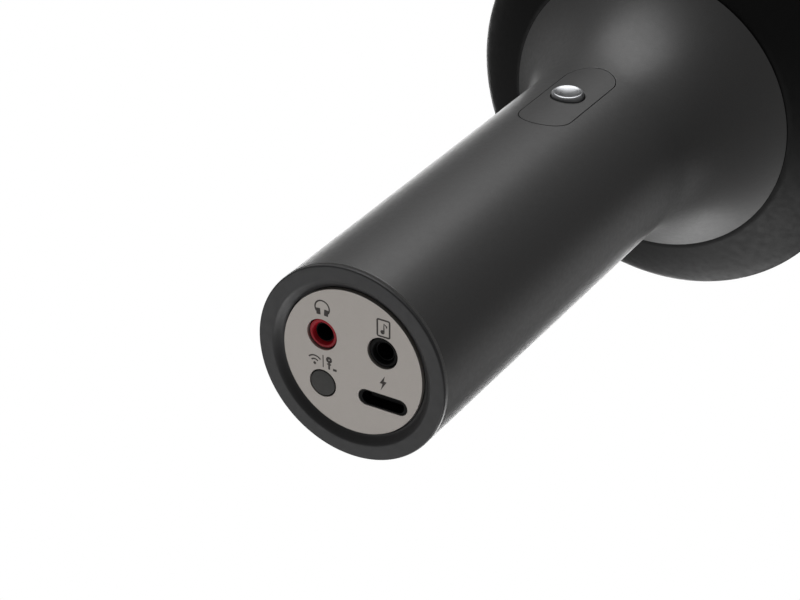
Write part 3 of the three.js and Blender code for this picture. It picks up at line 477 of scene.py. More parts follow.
# Each stroke is (points, closed, width in millimetres), seen from below with the front upwards.
strokes = [
    # headphones: band and two ear pads
    (arc(-6.35, 9.7, 1.55, -35, 215), False, 0.32),
    ([(-7.25, 9.5), (-7.15, 8.2)], False, 0.9), ([(-5.45, 9.5), (-5.55, 8.2)], False, 0.9),
    # music note in a rounded upright frame
    (rounded(6.75, 9.35, 1.3, 1.75, 0.3), True, 0.36),
    ([(6.85, 8.6), (6.85, 10.3), (7.4, 9.95), (7.4, 9.6)], False, 0.32),
    (arc(6.55, 8.55, 0.2, 0, 360), False, 0.5),
    # wireless waves, a divider and a microphone with a dash
    (arc(-8.2, -2.6, 0.12, 0, 360), False, 0.4), (arc(-8.2, -2.6, 0.9, 40, 140, 8), False, 0.32),
    (arc(-8.2, -2.6, 1.65, 40, 140, 10), False, 0.32),
    ([(-6.35, -0.35), (-6.35, -3.0)], False, 0.22),
    (arc(-5.05, -1.05, 0.4, 0, 360, 16), False, 0.55), ([(-5.05, -1.6), (-5.05, -3.1)], False, 0.42),
    ([(-5.5, -2.0), (-4.6, -2.0)], False, 0.3), ([(-4.2, -2.9), (-3.4, -2.9)], False, 0.5),
    # charging bolt
    ([(6.9, -0.95), (6.1, -2.35), (6.7, -2.35), (6.2, -3.75), (7.15, -2.05), (6.55, -2.05)], True, 0.55),
]
lines = bpy.data.curves.new("plate_symbols", "CURVE")
lines.dimensions = "3D"
lines.bevel_depth = 0.5
lines.bevel_resolution = 1
lines.use_fill_caps = True
for points, closed, width in strokes:
    line = lines.splines.new("POLY")
    line.points.add(len(points) - 1)
    line.use_cyclic_u = closed
    for knot, (x, y) in zip(line.points, points):
        knot.co = (x, -y, 0, 1)
        knot.radius = width
INK_FLATNESS = 0.08
symbols = thickened(lines)
bmesh.ops.scale(symbols, vec=(1, 1, INK_FLATNESS), verts=symbols.verts)
bmesh.ops.recalc_face_normals(symbols, faces=symbols.faces)
piece("port_plate_symbols", moved(symbols, 0, 0, PLATE_DEPTH), ink, "microphone", "black_plastic")

# ------------------------------------------------------------------ sockets
# Two 3.5 mm sockets: the headphone one has a red moulded collar, the music one a black collar.
# The charging socket is a steel shell round a tongue with gold contacts, and a thin black surround lines its
# slot in the plate. The shell is painted near-black, and together with the surround it stands in for the
# shade deep in the slot.

red_gloss = surface("red_moulded_collar", (0.44, 0.006, 0.018), (0.56, 0.01, 0.028), 5000, (0.36, 0.46),
                    relief=0.000006, Specular_IOR_Level=0.3)
deep_black = surface("black_moulded_plastic", (0.003, 0.003, 0.0031), (0.006, 0.006, 0.0062), 5000,
                     (0.42, 0.54), relief=0.00001, Specular_IOR_Level=0.3)
socket_black = surface("socket_black_plastic", (0.0015, 0.0015, 0.0015), (0.003, 0.003, 0.003), 5000,
                       (0.5, 0.6), relief=0.00001, Specular_IOR_Level=0.15)
gold = surface("gold_contact", (0.62, 0.42, 0.14), (0.75, 0.52, 0.2), 4000, (0.22, 0.32), metal=1.0)
JACK_BORE_R = 1.98
JACK_COLLAR_R = 2.95
JACK_SLEEVE_R = 1.92
JACK_SLEEVE_BORE_R = 1.75
COLLAR_FACE = 1.2
SLEEVE_FACE = COLLAR_FACE + 0.7
collar_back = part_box("music_socket_collar")[1].z / MM
for x, name, finish, slot in ((-PORT_X, "headphone_socket_collar", red_gloss, "red_plastic"),
                              (PORT_X, "music_socket_collar", socket_black, "black_plastic")):
    collar = turned([(JACK_BORE_R, COLLAR_FACE + 0.8), (JACK_BORE_R + 0.27, COLLAR_FACE + 0.22),
                     (JACK_BORE_R + 0.42, COLLAR_FACE), (JACK_COLLAR_R - 0.1, COLLAR_FACE),
                     (JACK_COLLAR_R, COLLAR_FACE + 0.1), (JACK_COLLAR_R, collar_back),
                     (JACK_BORE_R, collar_back)], 72)
    piece(f"{name}_ring", moved(softened(collar, 0.05, 40), x, JACK_Y), finish, "microphone", slot, name)
    sleeve = turned([(JACK_SLEEVE_BORE_R, SLEEVE_FACE), (JACK_SLEEVE_R, SLEEVE_FACE),
                     (JACK_SLEEVE_R, collar_back), (JACK_SLEEVE_BORE_R, collar_back)], 72)
    piece(f"{name}_sleeve", moved(sleeve, x, JACK_Y), socket_black, "microphone", "black_plastic")

# The near-black surround is partly black plastic and partly painted shade lining the charging slot.
SURROUND_GAP = 0.07
surround = carved(round_ended(SLOT_HALF_W - SURROUND_GAP, SLOT_HALF_L - SURROUND_GAP, PLATE_DEPTH + 0.15,
                              plate_top - 0.05, 48),
                  round_ended(1.36, 4.5, PLATE_DEPTH - 1, plate_top + 1, 48))
piece("charging_port_surround", moved(quarter_turned(surround), PORT_X, LOWER_Y), socket_black, "microphone",
      "black_plastic")


def bar(low, high):
    """A block from its lowest to its highest corner."""
    body = bmesh.new()
    bmesh.ops.create_cube(body, size=1)
    bmesh.ops.scale(body, vec=[b - a for a, b in zip(low, high)], verts=body.verts)
    return moved(body, *[(a + b) / 2 for a, b in zip(low, high)])


CONTACT_PITCH = 0.7
CONTACT_HALF_W, CONTACT_HALF_T = 0.15, 0.03
CONTACT_FOOT, CONTACT_TIP = 0.4, 5.0
CONTACT_OFFSET = 0.37
tongue_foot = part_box("usb_socket_tongue")[0].z / MM
contacts = []
for face_y in (LOWER_Y - CONTACT_OFFSET, LOWER_Y + CONTACT_OFFSET):
    for i in range(8):
        x = PORT_X + (i - 3.5) * CONTACT_PITCH
        contacts.append(bar((x - CONTACT_HALF_W, face_y - CONTACT_HALF_T, tongue_foot + CONTACT_FOOT),
                            (x + CONTACT_HALF_W, face_y + CONTACT_HALF_T, tongue_foot + CONTACT_TIP)))
piece("charging_contacts", joined(*contacts), gold, "microphone", "steel")

# ------------------------------------------------------------------ mode button
# A soft grey button that sits level with the plate in its own round hole, with a slightly domed face.

grey_rubber = surface("grey_button_rubber", (0.07, 0.069, 0.066), (0.09, 0.089, 0.085), 8000, (0.55, 0.68),
                      relief=0.000015)
mode_low, mode_high = (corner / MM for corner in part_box("mode_button"))
MODE_R = 2.62
MODE_CROWN = 0.12
MODE_FLANGE_R = 3.4
MODE_STEM_R = 1.5
mode_dome = [(MODE_R * math.sin(t), mode_low.z + MODE_CROWN - MODE_CROWN * math.cos(t))
             for t in (math.pi / 2 * i / 8 for i in range(8))]
mode = turned([*mode_dome, (2.6, mode_low.z + 0.3), (2.6, 2.1), (MODE_FLANGE_R, 2.1), (MODE_FLANGE_R, 2.9),
               (MODE_STEM_R, 2.9), (MODE_STEM_R, mode_high.z), (0, mode_high.z)], 72)
piece("mode_button_cap", moved(mode, -PORT_X, LOWER_Y), grey_rubber, "mode_button", "grey_rubber",
      "mode_button")

# ------------------------------------------------------------------ volume rocker
# A long key that follows the tube's curve, moulded and painted to match it, with a thin dark gap all round.
# Two posts under it reach the volume switches, and two ears with pins carry it on the board.

rocker_under = -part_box("main_board")[0].y / MM + 5.4
PIVOT_Y = 1.9 - rocker_under
POWER_HOLE_R = 3.65
BLANK_FOOT, BLANK_TOP = KEYS_Z - 25, KEYS_Z + 25
LIP_T = 0.8
POST_R = 1.5
POST_TIP = 15.3
POST_OUT = 10.5
EAR_IN, EAR_OUT = 4.6, 5.6
EAR_HALF_L = 1.6
key_blank = turned([(rocker_under, BLANK_FOOT), (HANDLE_R, BLANK_FOOT), (HANDLE_R, BLANK_TOP),
                    (rocker_under, BLANK_TOP)], 200)
key_outline = out_of_front(round_ended(ROCKER_HALF_W, ROCKER_HALF_L, CUT_FROM, CUT_TO))
key = carved(key_blank, key_outline, "INTERSECT")
key = carved(key, out_of_front(drum(POWER_HOLE_R, CUT_FROM, CUT_TO)))
lip_blank = turned([(rocker_under, BLANK_FOOT), (rocker_under + LIP_T, BLANK_FOOT),
                    (rocker_under + LIP_T, BLANK_TOP), (rocker_under, BLANK_TOP)], 200)
lip_outline = out_of_front(round_ended(ROCKER_HALF_W + 1, ROCKER_HALF_L + 1, CUT_FROM, CUT_TO))
lip = carved(lip_blank, lip_outline, "INTERSECT")
lip = carved(lip, joined(out_of_front(drum(POWER_HOLE_R, CUT_FROM, CUT_TO)),
                         bar((5.8, -18, KEYS_Z - 2.6), (12, -12, KEYS_Z + 2.6)),
                         bar((-12, -18, KEYS_Z - 2.6), (-5.8, -12, KEYS_Z + 2.6))))
posts = [out_of_front(moved(drum(POST_R, POST_TIP, rocker_under + 0.6, 24), 0, side * POST_OUT))
         for side in (-1, 1)]
ears = [bar((min(side * EAR_IN, side * EAR_OUT), -rocker_under, KEYS_Z - EAR_HALF_L),
            (max(side * EAR_IN, side * EAR_OUT), PIVOT_Y + 0.8, KEYS_Z + EAR_HALF_L)) for side in (-1, 1)]
key = softened(key, 0.22, 50, 3)
for part in (lip, *posts, *ears):
    key = carved(key, part, "UNION")
piece("volume_rocker_key", key, satin_grey, "volume_rocker", "gunmetal", "volume_rocker")

# ------------------------------------------------------------------ power button
# A turned and polished metal button in the middle of the rocker, with a rolled edge and a dished face.

polished = surface("polished_button_metal", (0.55, 0.56, 0.58), (0.68, 0.69, 0.71), 5000, (0.26, 0.36),
                   metal=1.0)
button_top = -power_low.y / MM
button_foot = -power_high.y / MM
POWER_R = 3.35
POWER_FLANGE_R = 4.1
POWER_FLANGE_T = 0.5
DISH_R = 2.7
DISH_DEPTH = 0.42
DISH_RISE = 0.36
dished = [(r, button_top - DISH_DEPTH + DISH_RISE * (r / DISH_R) ** 2)
          for r in (0, 0.7, 1.3, 1.8, 2.25, 2.55)]
power = turned([*dished, (POWER_R - 0.63, button_top - 0.02), (POWER_R - 0.47, button_top),
                (POWER_R - 0.25, button_top - 0.07), (POWER_R - 0.08, button_top - 0.24),
                (POWER_R, button_top - 0.5), (POWER_R, button_foot + POWER_FLANGE_T),
                (POWER_FLANGE_R, button_foot + POWER_FLANGE_T), (POWER_FLANGE_R, button_foot),
                (0, button_foot)], 80)
piece("power_button_cap", out_of_front(power), polished, "power_button", "silver", "power_button")

# ------------------------------------------------------------------ head bowl
# The underside of the head: a black moulded bowl that opens out to the rim. Screws hold it to the flare.

bowl_low, bowl_high = (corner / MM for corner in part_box("head_bowl"))
RIM_R = bowl_high.x
RIM_DROP = 3.6
RIM_Z = bowl_high.z - RIM_DROP
BOWL_WALL = 2.2
BOWL_MOUTH_R = 21
bowl_start, bowl_end = Vector((33, bowl_low.z)), Vector((RIM_R, RIM_Z))
bowl_bend = Vector((RIM_R - 2, RIM_Z - RIM_DROP))
bowl_curve = [bowl_start * (1 - t) ** 2 + bowl_bend * 2 * t * (1 - t) + bowl_end * t ** 2
              for t in (i / 20 for i in range(21))]
rim_step = bowl_high.z - 2.8
bowl = turned([(BOWL_MOUTH_R, bowl_low.z), *[tuple(p) for p in bowl_curve], (RIM_R, bowl_high.z - 0.5),
               (RIM_R - 0.5, bowl_high.z), (RIM_R - BOWL_WALL, bowl_high.z), (RIM_R - BOWL_WALL, rim_step),
               (RIM_R - 2 * BOWL_WALL, rim_step), (34, bowl_low.z + BOWL_WALL),
               (BOWL_MOUTH_R, bowl_low.z + BOWL_WALL)], 192)
piece("head_bowl_shell", softened(bowl, 0.15, 40), deep_black, "microphone", "black_plastic", "head_bowl")

# ------------------------------------------------------------------ speaker band
# A rolled steel band round the head, punched all over with small round holes for the two side speakers.
# It is held between the bowl and the top deck, and painted black.

black_steel = surface("black_painted_steel", (0.02, 0.02, 0.021), (0.034, 0.034, 0.036), 5000, (0.34, 0.46),
                      metal=0.5, relief=0.00001)
band_low, band_high = (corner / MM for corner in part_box("speaker_grille"))
BAND_FOOT_R = band_high.x
BAND_TOP_R = BAND_FOOT_R - 2.9
BAND_WALL = 0.8
HOLES_ROUND = 92
HOLE_ROWS = 11
HOLE_RIM = 0.0024
band = bmesh.new()
bmesh.ops.create_grid(band, x_segments=HOLES_ROUND, y_segments=HOLE_ROWS, size=0.5)
squares = [edge for edge in band.edges if not edge.is_boundary]
bmesh.ops.poke(band, faces=band.faces[:])
bmesh.ops.dissolve_edges(band, edges=squares, use_verts=False)
diamonds = [f for f in band.faces if len(f.verts) == 4]
bmesh.ops.inset_individual(band, faces=diamonds, thickness=HOLE_RIM)
bmesh.ops.delete(band, geom=diamonds, context="FACES_ONLY")
for v in band.verts:
    turn, rise = 2 * math.pi * v.co.x, v.co.y + 0.5
    radius = BAND_FOOT_R + (BAND_TOP_R - BAND_FOOT_R) * rise
    v.co = (radius * math.cos(turn), radius * math.sin(turn), band_low.z + (band_high.z - band_low.z) * rise)
bmesh.ops.remove_doubles(band, verts=band.verts, dist=0.001)
bmesh.ops.recalc_face_normals(band, faces=band.faces)
band_sheet = piece("speaker_band", band, black_steel, "microphone", "mesh_steel", "speaker_grille", crease=60,
                   flat_faces=False)
rounder = band_sheet.modifiers.new("round_holes", "SUBSURF")
rounder.levels = rounder.render_levels = 1
wall = band_sheet.modifiers.new("sheet", "SOLIDIFY")
wall.thickness = BAND_WALL * MM
wall.offset = -1

# ------------------------------------------------------------------ inner screen
# A thin ring of black plastic stands just inside the band, with a round window in front of each driver.
# It closes the head round the two drivers, so that nothing shows through the punched holes there.

WINDOW_R = 15.4
SCREEN_IN = 1.3
SCREEN_WALL = 0.6
SCREEN_END = 0.4
screen_foot, screen_top = band_low.z + SCREEN_END, band_high.z - SCREEN_END
screen_foot_r, screen_top_r = BAND_FOOT_R - SCREEN_IN, BAND_TOP_R - SCREEN_IN
screen = turned([(screen_foot_r, screen_foot), (screen_top_r, screen_top),
                 (screen_top_r - SCREEN_WALL, screen_top), (screen_foot_r - SCREEN_WALL, screen_foot)], 160)
window = turned([(0, -60), (WINDOW_R, -60), (WINDOW_R, 60), (0, 60)], 72)
bmesh.ops.rotate(window, verts=window.verts, matrix=Matrix.Rotation(math.pi / 2, 3, "Y"))
moved(window, 0, 0, sum(corner.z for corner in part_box("speaker_basket_left")) / 2 / MM)
piece("inner_screens", carved(screen, window), deep_black, "microphone", "black_plastic")

# ------------------------------------------------------------------ speakers
# Two small drivers that face left and right. Each has a pressed steel basket with windows, a ring magnet,
# a paper cone with a dust cap, and a rubber roll that lets the cone move.

pressed_steel = surface("pressed_steel", (0.32, 0.33, 0.34), (0.42, 0.43, 0.45), 3000, (0.28, 0.42),
                        metal=1.0, relief=0.00001, stretch=(1, 1, 5))
paper = surface("pressed_paper_cone", (0.018, 0.018, 0.018), (0.035, 0.034, 0.032), 2600, (0.8, 0.95),
                relief=0.00006, detail=8)
black_rubber = surface("black_rubber", (0.012, 0.012, 0.012), (0.02, 0.02, 0.02), 4000, (0.6, 0.75),
                       relief=0.00002)


def facing_side(body, side, height):
    """Turns a body that was made pointing up so that it points out to that side, at that height."""
    bmesh.ops.rotate(body, verts=body.verts, matrix=Matrix.Rotation(side * math.pi / 2, 3, "Y"))
    return moved(body, 0, 0, height)


BASKET_WINDOWS = 6
BASKET_R = 16
BASKET_LIP = 1.2
MAGNET_R = 11
MAGNET_H = 9
POLE_R = 4.5
COIL_R, COIL_BORE_R = 5.4, 5.1
CONE_R = 11.8
ROLL_MID, ROLL_HALF = 14.2, 1.65
ROLL_WALL = 0.35
ROLL_RISE = 1.5
for side, hand in ((-1, "left"), (1, "right")):
    near, far = (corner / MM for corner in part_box(f"speaker_basket_{hand}"))
    speaker_z = (near.z + far.z) / 2
    front = max(abs(near.x), abs(far.x))
    back = min(abs(near.x), abs(far.x))
    seat = front - BASKET_LIP
    basket = turned([(12.8, front), (BASKET_R, front), (BASKET_R, seat), (13.5, seat), (11, back), (6, back),
                     (6, back + 1), (10.2, back + 1), (12.5, seat - 0.3)], 96)
    for i in range(BASKET_WINDOWS):
        window = bar((8.5, -2.6, back + 2.2), (18, 2.6, seat - 1.2))
        bmesh.ops.rotate(window, verts=window.verts,
                         matrix=Matrix.Rotation(2 * math.pi * (i + 0.5) / BASKET_WINDOWS, 3, "Z"))
        basket = carved(basket, window)
    piece(f"speaker_basket_frame_{hand}", facing_side(basket, side, speaker_z), black_steel, "microphone",
          "steel", f"speaker_basket_{hand}")
    magnet_top = back - 0.3
    magnet_foot = magnet_top - MAGNET_H
    magnet = turned([(0, magnet_foot), (MAGNET_R - 0.4, magnet_foot), (MAGNET_R, magnet_foot + 0.4),
                     (MAGNET_R, magnet_foot + 1.6), (MAGNET_R - 0.6, magnet_foot + 1.8),
                     (MAGNET_R - 0.6, magnet_top - 1.7), (MAGNET_R, magnet_top - 1.5), (MAGNET_R, magnet_top),
                     (6, magnet_top), (6, magnet_foot + 2), (POLE_R, magnet_foot + 2), (POLE_R, magnet_top),
                     (0, magnet_top)], 72)
    piece(f"speaker_magnet_ring_{hand}", facing_side(softened(magnet, 0.12), side, speaker_z), pressed_steel,
          "microphone", "steel", f"speaker_magnet_{hand}")
    neck = front - 6.5
    coil_foot = magnet_top - 4
    dust_cap = [(5.3 * math.sin(t), neck + 1.0 + 2.1 * math.cos(t))
                for t in (math.pi / 2 * i / 8 for i in range(9))]
    ribs = [(6.2 + 5.2 * t, neck + 1.6 + 4.9 * t + 0.12 * math.sin(6 * math.pi * t))
            for t in (i / 18 for i in range(19))]
    cone = turned([*dust_cap, *ribs, (CONE_R, front), (CONE_R, front - 0.5), (COIL_R, neck - 0.1),
                   (COIL_R, coil_foot), (COIL_BORE_R, coil_foot), (COIL_BORE_R, neck + 0.4),
                   (0, neck + 2.5)], 96)
    piece(f"speaker_cone_{hand}_paper", facing_side(cone, side, speaker_z), paper, f"{hand}_cone",
          "paper_cone", f"speaker_cone_{hand}")
    turns = [math.pi * i / 14 for i in range(15)]
    over, under = ([(ROLL_MID - (ROLL_HALF - inset) * math.cos(t),
                     front + ROLL_WALL + (ROLL_RISE - inset) * math.sin(t)) for t in turns]
                   for inset in (0, ROLL_WALL))
    roll = turned([*over, *reversed(under)], 96)
    piece(f"speaker_roll_{hand}", facing_side(roll, side, speaker_z), black_rubber, "microphone", "rubber",
          f"speaker_surround_{hand}")

# ------------------------------------------------------------------ top deck
# A black moulded cover over the speaker band, with a short collar that the mesh dome's ring screws onto.

deck_low, deck_high = (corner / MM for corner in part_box("top_deck"))
DECK_R = deck_high.x
DECK_FLAT_R = 38.2
DECK_WALL = 2.2
DECK_HOLE_R = 6
COLLAR_R = 33.0
COLLAR_BORE_R = 31.2
THREAD_PITCH = 1.3
THREAD_DEPTH = 0.25
root_r = COLLAR_R - THREAD_DEPTH
deck_flat = deck_low.z + 4.8
shoulder = [(DECK_R - (DECK_R - DECK_FLAT_R) * math.sin(t), deck_low.z + 1.6 + 3.2 * (1 - math.cos(t)))
            for t in (math.pi / 2 * i / 10 for i in range(11))]
threads = []
for i in range(3):
    foot = deck_flat + 1.6 + i * THREAD_PITCH
    threads += [(root_r, foot), (COLLAR_R, foot + THREAD_DEPTH), (COLLAR_R, foot + 0.65),
                (root_r, foot + 0.9)]
deck = turned([(DECK_HOLE_R, deck_low.z), (DECK_R, deck_low.z), *shoulder, (root_r, deck_flat), *threads,
               (root_r, deck_high.z), (COLLAR_BORE_R, deck_high.z), (COLLAR_BORE_R, deck_low.z + DECK_WALL),
               (DECK_HOLE_R, deck_low.z + DECK_WALL)], 160)
piece("top_deck_cover", softened(deck, 0.1, 45), deep_black, "microphone", "black_plastic", "top_deck")

# ------------------------------------------------------------------ grille ring, gasket and mesh dome
# The dome is woven steel wire pressed to shape and painted dark. It is rolled into a satin metal ring with a
# knurled grip, which screws down on a thin rubber gasket. A foam liner inside stops pops and keeps dust out.

gasket_low, gasket_high = (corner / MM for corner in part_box("grille_gasket"))
gasket = turned([(33.6, gasket_low.z), (36.8, gasket_low.z), (37.1, gasket_low.z + 0.6),
                 (36.8, gasket_high.z), (33.6, gasket_high.z)], 120)
piece("grille_gasket_ring", gasket, black_rubber, "microphone", "rubber", "grille_gasket")

satin_metal = surface("satin_turned_metal", (0.40, 0.40, 0.41), (0.5, 0.5, 0.51), 2500, (0.24, 0.34),
                      metal=1.0, relief=0.000004, stretch=(1, 1, 12))
ring_low, ring_high = (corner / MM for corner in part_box("grille_ring"))
RING_R = ring_high.x
KNURLS = 180
grip_low, grip_high = ring_low.z + 1.5, ring_low.z + 5.6
RING_BORE_R = COLLAR_R + PART_GAP
RING_SEAT_R = 36.8
grip = turned([(RING_BORE_R, ring_low.z), (RING_R - 0.3, ring_low.z), (RING_R, ring_low.z + 0.3),
               (RING_R, grip_low - 0.3), (RING_R - 0.25, grip_low), (RING_R - 0.02, grip_low + 0.25),
               (RING_R - 0.02, grip_high - 0.25), (RING_R - 0.25, grip_high), (RING_R, grip_high + 0.3),
               (RING_R, ring_high.z - 0.4), (RING_R - 0.35, ring_high.z),
               (RING_SEAT_R, ring_high.z), (RING_SEAT_R, ring_high.z - 2), (RING_BORE_R, ring_high.z - 2)],
              KNURLS * 2)
for v in grip.verts:
    turn = math.atan2(v.co.y, v.co.x) / math.pi * KNURLS
    if grip_low < v.co.z < grip_high and v.co.xy.length > RING_R - 0.1 and round(turn) % 2:
        v.co.xy = v.co.xy.normalized() * (RING_R - 0.3)
piece("grille_ring_grip", grip, satin_metal, "grille", "silver", "grille_ring", crease=28)

dome_low, dome_high = (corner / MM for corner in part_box("mesh_dome"))
DOME_R = dome_high.x
DOME_H = dome_high.z - dome_low.z
WIRE_R = 0.25
WIRE_PITCH = 1.75
WEAVE = 0.21
reach = math.pi / 2 * (DOME_R + DOME_H) / 2
dome_paint = surface("dark_mesh_plating", (0.10, 0.10, 0.104), (0.15, 0.15, 0.155), 6000, (0.36, 0.48),
                     metal=0.9, relief=0.000008)
weave = bpy.data.curves.new("woven_wire", "CURVE")
weave.dimensions = "3D"
weave.bevel_depth = WIRE_R
weave.bevel_resolution = 0
weave.resolution_u = 2
wires = int(reach / WIRE_PITCH)
for across in (False, True):
    for i in range(-wires, wires + 1):
        crossings = [k for k in range(-wires, wires + 1) if math.hypot(i, k) * WIRE_PITCH <= reach]
        if len(crossings) < 4:
            continue
        wire = weave.splines.new("NURBS")
        wire.points.add(len(crossings) - 1)
        wire.use_endpoint_u = True
        wire.order_u = 3
        for knot, k in zip(wire.points, crossings):
            u, v = (i, k) if across else (k, i)
            along = math.hypot(u, v) * WIRE_PITCH / reach * math.pi / 2
            heading = math.atan2(v, u)
            lift = WEAVE * (1 if (i + k + across) % 2 else -1)
            radius = (DOME_R - WIRE_R - WEAVE + lift) * math.sin(along)
            knot.co = (radius * math.cos(heading), radius * math.sin(heading),
                       dome_low.z + (DOME_H - WIRE_R - WEAVE + lift) * math.cos(along), 1)
piece("woven_mesh_dome", thickened(weave), dome_paint, "grille", "mesh_steel", "mesh_dome", crease=80,
      flat_faces=False)

foam_look = surface("open_cell_foam", (0.012, 0.012, 0.012), (0.04, 0.04, 0.041), 1500, (0.9, 1.0),
                    relief=0.0004, detail=8)
FOAM_WALL = 3
FOAM_GAP = 0.2
foam_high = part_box("foam_liner")[1] / MM
foam_r, foam_h = foam_high.x - FOAM_GAP, foam_high.z - dome_low.z - FOAM_GAP
turns = [math.pi / 2 * i / 24 for i in range(25)]
outer = [(foam_r * math.sin(t), dome_low.z + foam_h * math.cos(t)) for t in turns]
inner = [((foam_r - FOAM_WALL) * math.sin(t), dome_low.z + (foam_h - FOAM_WALL) * math.cos(t)) for t in turns]
foam = turned([*outer, *reversed(inner)], 96)
foam_liner = piece("foam_liner_pad", foam, foam_look, "grille", "foam", "foam_liner")

# ------------------------------------------------------------------ capsule
# The microphone capsule sits in a ribbed rubber cup on a moulded post, which keeps handling noise from it.
# Its steel can has a punched face behind the foam.

post_low, post_high = (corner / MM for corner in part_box("capsule_post"))
post = turned([(6, post_low.z), (12, post_low.z), (12, post_low.z + 2), (10, post_low.z + 2.3),
               (9.3, post_low.z + 3), (9, post_low.z + 4.2), (9, post_high.z), (6, post_high.z)], 80)
piece("capsule_post_moulding", softened(post, 0.12, 45), soft_black, "microphone", "frame_plastic",
      "capsule_post")

cup_low, cup_high = (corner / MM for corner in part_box("capsule_mount"))
CUP_R = cup_high.x
rib_step = (cup_high.z - cup_low.z - 2.4) / 16
ribbed = [(CUP_R - 0.3 + 0.3 * math.cos(math.pi * i), cup_low.z + 1.2 + rib_step * i) for i in range(17)]
cup = turned([(6, cup_low.z), (CUP_R - 0.8, cup_low.z), *ribbed, (CUP_R - 0.7, cup_high.z),
              (12.3, cup_high.z), (12.3, cup_low.z + 2.2), (6, cup_low.z + 2.2)], 96)
piece("capsule_cup", cup, black_rubber, "microphone", "rubber", "capsule_mount", crease=50)

CAN_R = 12
SIEVE_R = 10.2
capsule_low, capsule_high = (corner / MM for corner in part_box("mic_capsule"))
can = turned([(0, capsule_low.z), (CAN_R, capsule_low.z), (CAN_R, capsule_high.z - 0.8),
              (CAN_R - 0.3, capsule_high.z - 0.2), (CAN_R - 0.8, capsule_high.z),
              (SIEVE_R + 0.4, capsule_high.z - 0.1), (SIEVE_R + 0.1, capsule_high.z - 0.5),
              (0, capsule_high.z - 0.5)], 96)
piece("capsule_can", can, pressed_steel, "microphone", "steel", "mic_capsule")
sieve = bmesh.new()
bmesh.ops.create_grid(sieve, x_segments=16, y_segments=16, size=SIEVE_R)
bmesh.ops.delete(sieve, geom=[v for v in sieve.verts if v.co.length > SIEVE_R], context="VERTS")
mesh_squares = sieve.faces[:]
bmesh.ops.inset_individual(sieve, faces=mesh_squares, thickness=0.3)
bmesh.ops.delete(sieve, geom=mesh_squares, context="FACES_ONLY")
bmesh.ops.solidify(sieve, geom=sieve.faces[:], thickness=0.25)
bmesh.ops.recalc_face_normals(sieve, faces=sieve.faces)
piece("capsule_sieve", moved(sieve, 0, 0, capsule_high.z - 0.2), satin_metal, "microphone", "steel")

# ------------------------------------------------------------------ screws
# Plated steel screws with a domed head and a cross recess: two in the end cap, three in the bowl and two in
# the deck. The end cap's screws point up from below, and the others point down.

plated = surface("plated_screw_steel", (0.38, 0.38, 0.39), (0.5, 0.5, 0.5), 4000, (0.25, 0.36), metal=1.0)
for name, points_up in (("end_cap_screw_1", True), ("end_cap_screw_2", True), ("bowl_screw_1", False),
                        ("bowl_screw_2", False), ("bowl_screw_3", False), ("deck_screw_1", False),
                        ("deck_screw_2", False)):
    low, high = (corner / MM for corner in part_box(name))
    length, head_r = high.z - low.z, (high.x - low.x) / 2
    head_h, shank_r = head_r * 0.6, head_r * 0.5
    crests = []
    for i in range(6):
        foot = 1 + i * (length - head_h - 1.4) / 6
        crests += [(shank_r - 0.18, foot), (shank_r, foot + 0.35)]
    blank = turned([(0, 0), (shank_r * 0.5, 0.4), *crests, (shank_r, length - head_h),
                    (head_r, length - head_h), (head_r, length - head_h * 0.6),
                    (head_r * 0.86, length - head_h * 0.2), (head_r * 0.5, length), (0, length)], 32)
    arm = head_r * 0.6
    for turned_by in (0, 1):
        slot = bar((-arm, -0.22, length - head_h * 0.75), (arm, 0.22, length + 1))
        blank = carved(blank, quarter_turned(slot) if turned_by else slot)
    if points_up:
        bmesh.ops.rotate(blank, verts=blank.verts, matrix=Matrix.Rotation(math.pi, 3, "X"))
        moved(blank, 0, 0, length)
    piece(f"{name}_cross_head", moved(blank, (low.x + high.x) / 2, (low.y + high.y) / 2, low.z), plated,
          "microphone", "steel", name)

# ------------------------------------------------------------------ battery cell
# One 18650 lithium cell lies behind the main board. Its steel can is crimped below the raised positive end,
# and it wears a shrunk plastic sleeve.

cell_sleeve = surface("blue_cell_sleeve", (0.015, 0.10, 0.30), (0.02, 0.14, 0.38), 1200, (0.2, 0.3),
                      relief=0.00001, Coat_Weight=0.4)
cell_low, cell_high = (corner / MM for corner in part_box("battery_cell"))
CELL_R = (cell_high.x - cell_low.x) / 2
cell = turned([(0, cell_low.z), (7.4, cell_low.z), (7.7, cell_low.z + 0.15), (CELL_R - 0.5, cell_low.z + 0.1),
               (CELL_R, cell_low.z + 0.6), (CELL_R, cell_high.z - 4.6), (CELL_R - 0.45, cell_high.z - 4.0),
               (CELL_R - 0.45, cell_high.z - 3.6), (CELL_R, cell_high.z - 3.0), (CELL_R, cell_high.z - 1.3),
               (CELL_R - 0.5, cell_high.z - 0.85), (6.6, cell_high.z - 0.85), (6.3, cell_high.z - 1.1),
               (4.0, cell_high.z - 1.1), (3.7, cell_high.z - 0.1), (3.4, cell_high.z), (0, cell_high.z)], 96)
piece("battery_cell_can", moved(cell, 0, (cell_low.y + cell_high.y) / 2), cell_sleeve, "microphone",
      "cell_wrap", "battery_cell")

# ------------------------------------------------------------------ boards
# The main board stands upright behind the keys, and the port board lies across the handle over the sockets.
# Both are green glass-fibre boards. Rows of small moulded parts are soldered to the main board's front.


def board_look(name):
    """Green solder mask over a net of copper tracks."""
    finish = surface(name, (0.05, 0.22, 0.07), (0.009, 0.08, 0.028), 900, (0.28, 0.38), relief=0.00002)
    nodes, links = finish.node_tree.nodes, finish.node_tree.links
    tracks = nodes.new("ShaderNodeTexVoronoi")
    tracks.feature = "DISTANCE_TO_EDGE"
    tracks.inputs["Scale"].default_value = 420
    links.new(nodes["placed"].outputs["Vector"], tracks.inputs["Vector"])
    copper, mask = nodes["tint"].color_ramp.elements
    copper.position, mask.position = 0.04, 0.07
    links.new(tracks.outputs["Distance"], nodes["tint"].inputs["Fac"])
    return finish


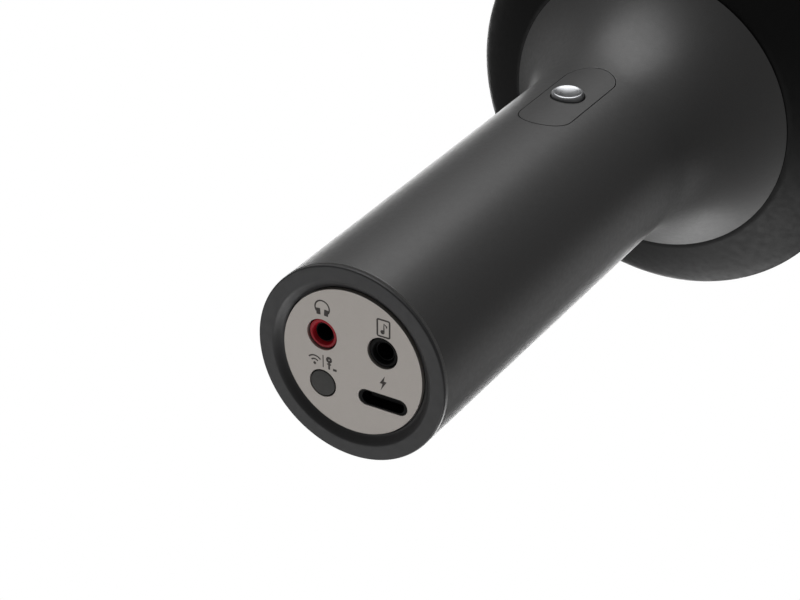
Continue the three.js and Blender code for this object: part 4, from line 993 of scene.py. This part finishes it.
green_board = board_look("green_circuit_board")
chip_black = surface("chip_epoxy", (0.012, 0.012, 0.013), (0.022, 0.022, 0.023), 5000, (0.45, 0.6),
                     relief=0.00001)
board_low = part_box("main_board")[0] / MM
chips = []
for row in range(9):
    for column in range(5):
        at_x, at_z = -8 + 4 * column + (row % 2), board_low.z + 4 + 4.4 * row
        chips.append(bar((at_x - 0.8, board_low.y - 0.5, at_z - 0.4), (at_x + 0.8, board_low.y, at_z + 0.4)))
for at_x, rise, width, length, depth in ((-6.5, 44, 5, 5, 1), (3, 43.5, 9, 6, 2.4), (8.5, 33, 4, 4, 1.8)):
    foot = board_low.z + rise - length / 2
    chips.append(bar((at_x - width / 2, board_low.y - depth, foot),
                     (at_x + width / 2, board_low.y, foot + length)))
piece("main_board_components", softened(joined(*chips), 0.08, 50), chip_black, "microphone", "chip")

# ------------------------------------------------------------------ inside
# The CAD solids that stay as they are: the socket bodies, the boards with their chips and switches, the
# moulded frames that carry them, and the short leads. Each gets the finish of its own material, except the
# charging socket's steel shell, which is painted near-black as painted shade inside its slot.

# Painted shade: the charging socket's steel shell is coloured near-black to stand in for the shade inside its
# slot.
usb_shell_shade_black = surface("usb_shell_painted_shade", (0.002, 0.002, 0.002), (0.004, 0.004, 0.004), 4000, (0.5, 0.6),
                     Specular_IOR_Level=0.25)
lead_rubber = surface("black_lead_insulation", (0.012, 0.012, 0.012), (0.02, 0.02, 0.02), 3000, (0.5, 0.6),
                      relief=0.00001)
kept = {
    "headphone_socket_body": socket_black, "music_socket_body": socket_black, "usb_socket_shell": usb_shell_shade_black,
    "usb_socket_tongue": socket_black, "mode_switch": chip_black, "port_board": green_board,
    "inner_frame": soft_black, "main_board": green_board, "radio_module": pressed_steel,
    "sound_chip": chip_black, "amplifier_chip": chip_black, "power_inductor": chip_black,
    "power_switch": chip_black, "volume_up_switch": chip_black, "volume_down_switch": chip_black,
    "rocker_carrier": soft_black, "speaker_frame": soft_black, "speaker_lead_left": lead_rubber,
    "speaker_lead_right": lead_rubber, "capsule_lead": lead_rubber,
}
for name, finish in kept.items():
    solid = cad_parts[name]
    solid.data.materials.clear()
    solid.data.materials.append(finish)

# ------------------------------------------------------------------ finish
size = {"cad": [list(corner) for corner in cad_box], "visual": [list(corner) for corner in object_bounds()]}
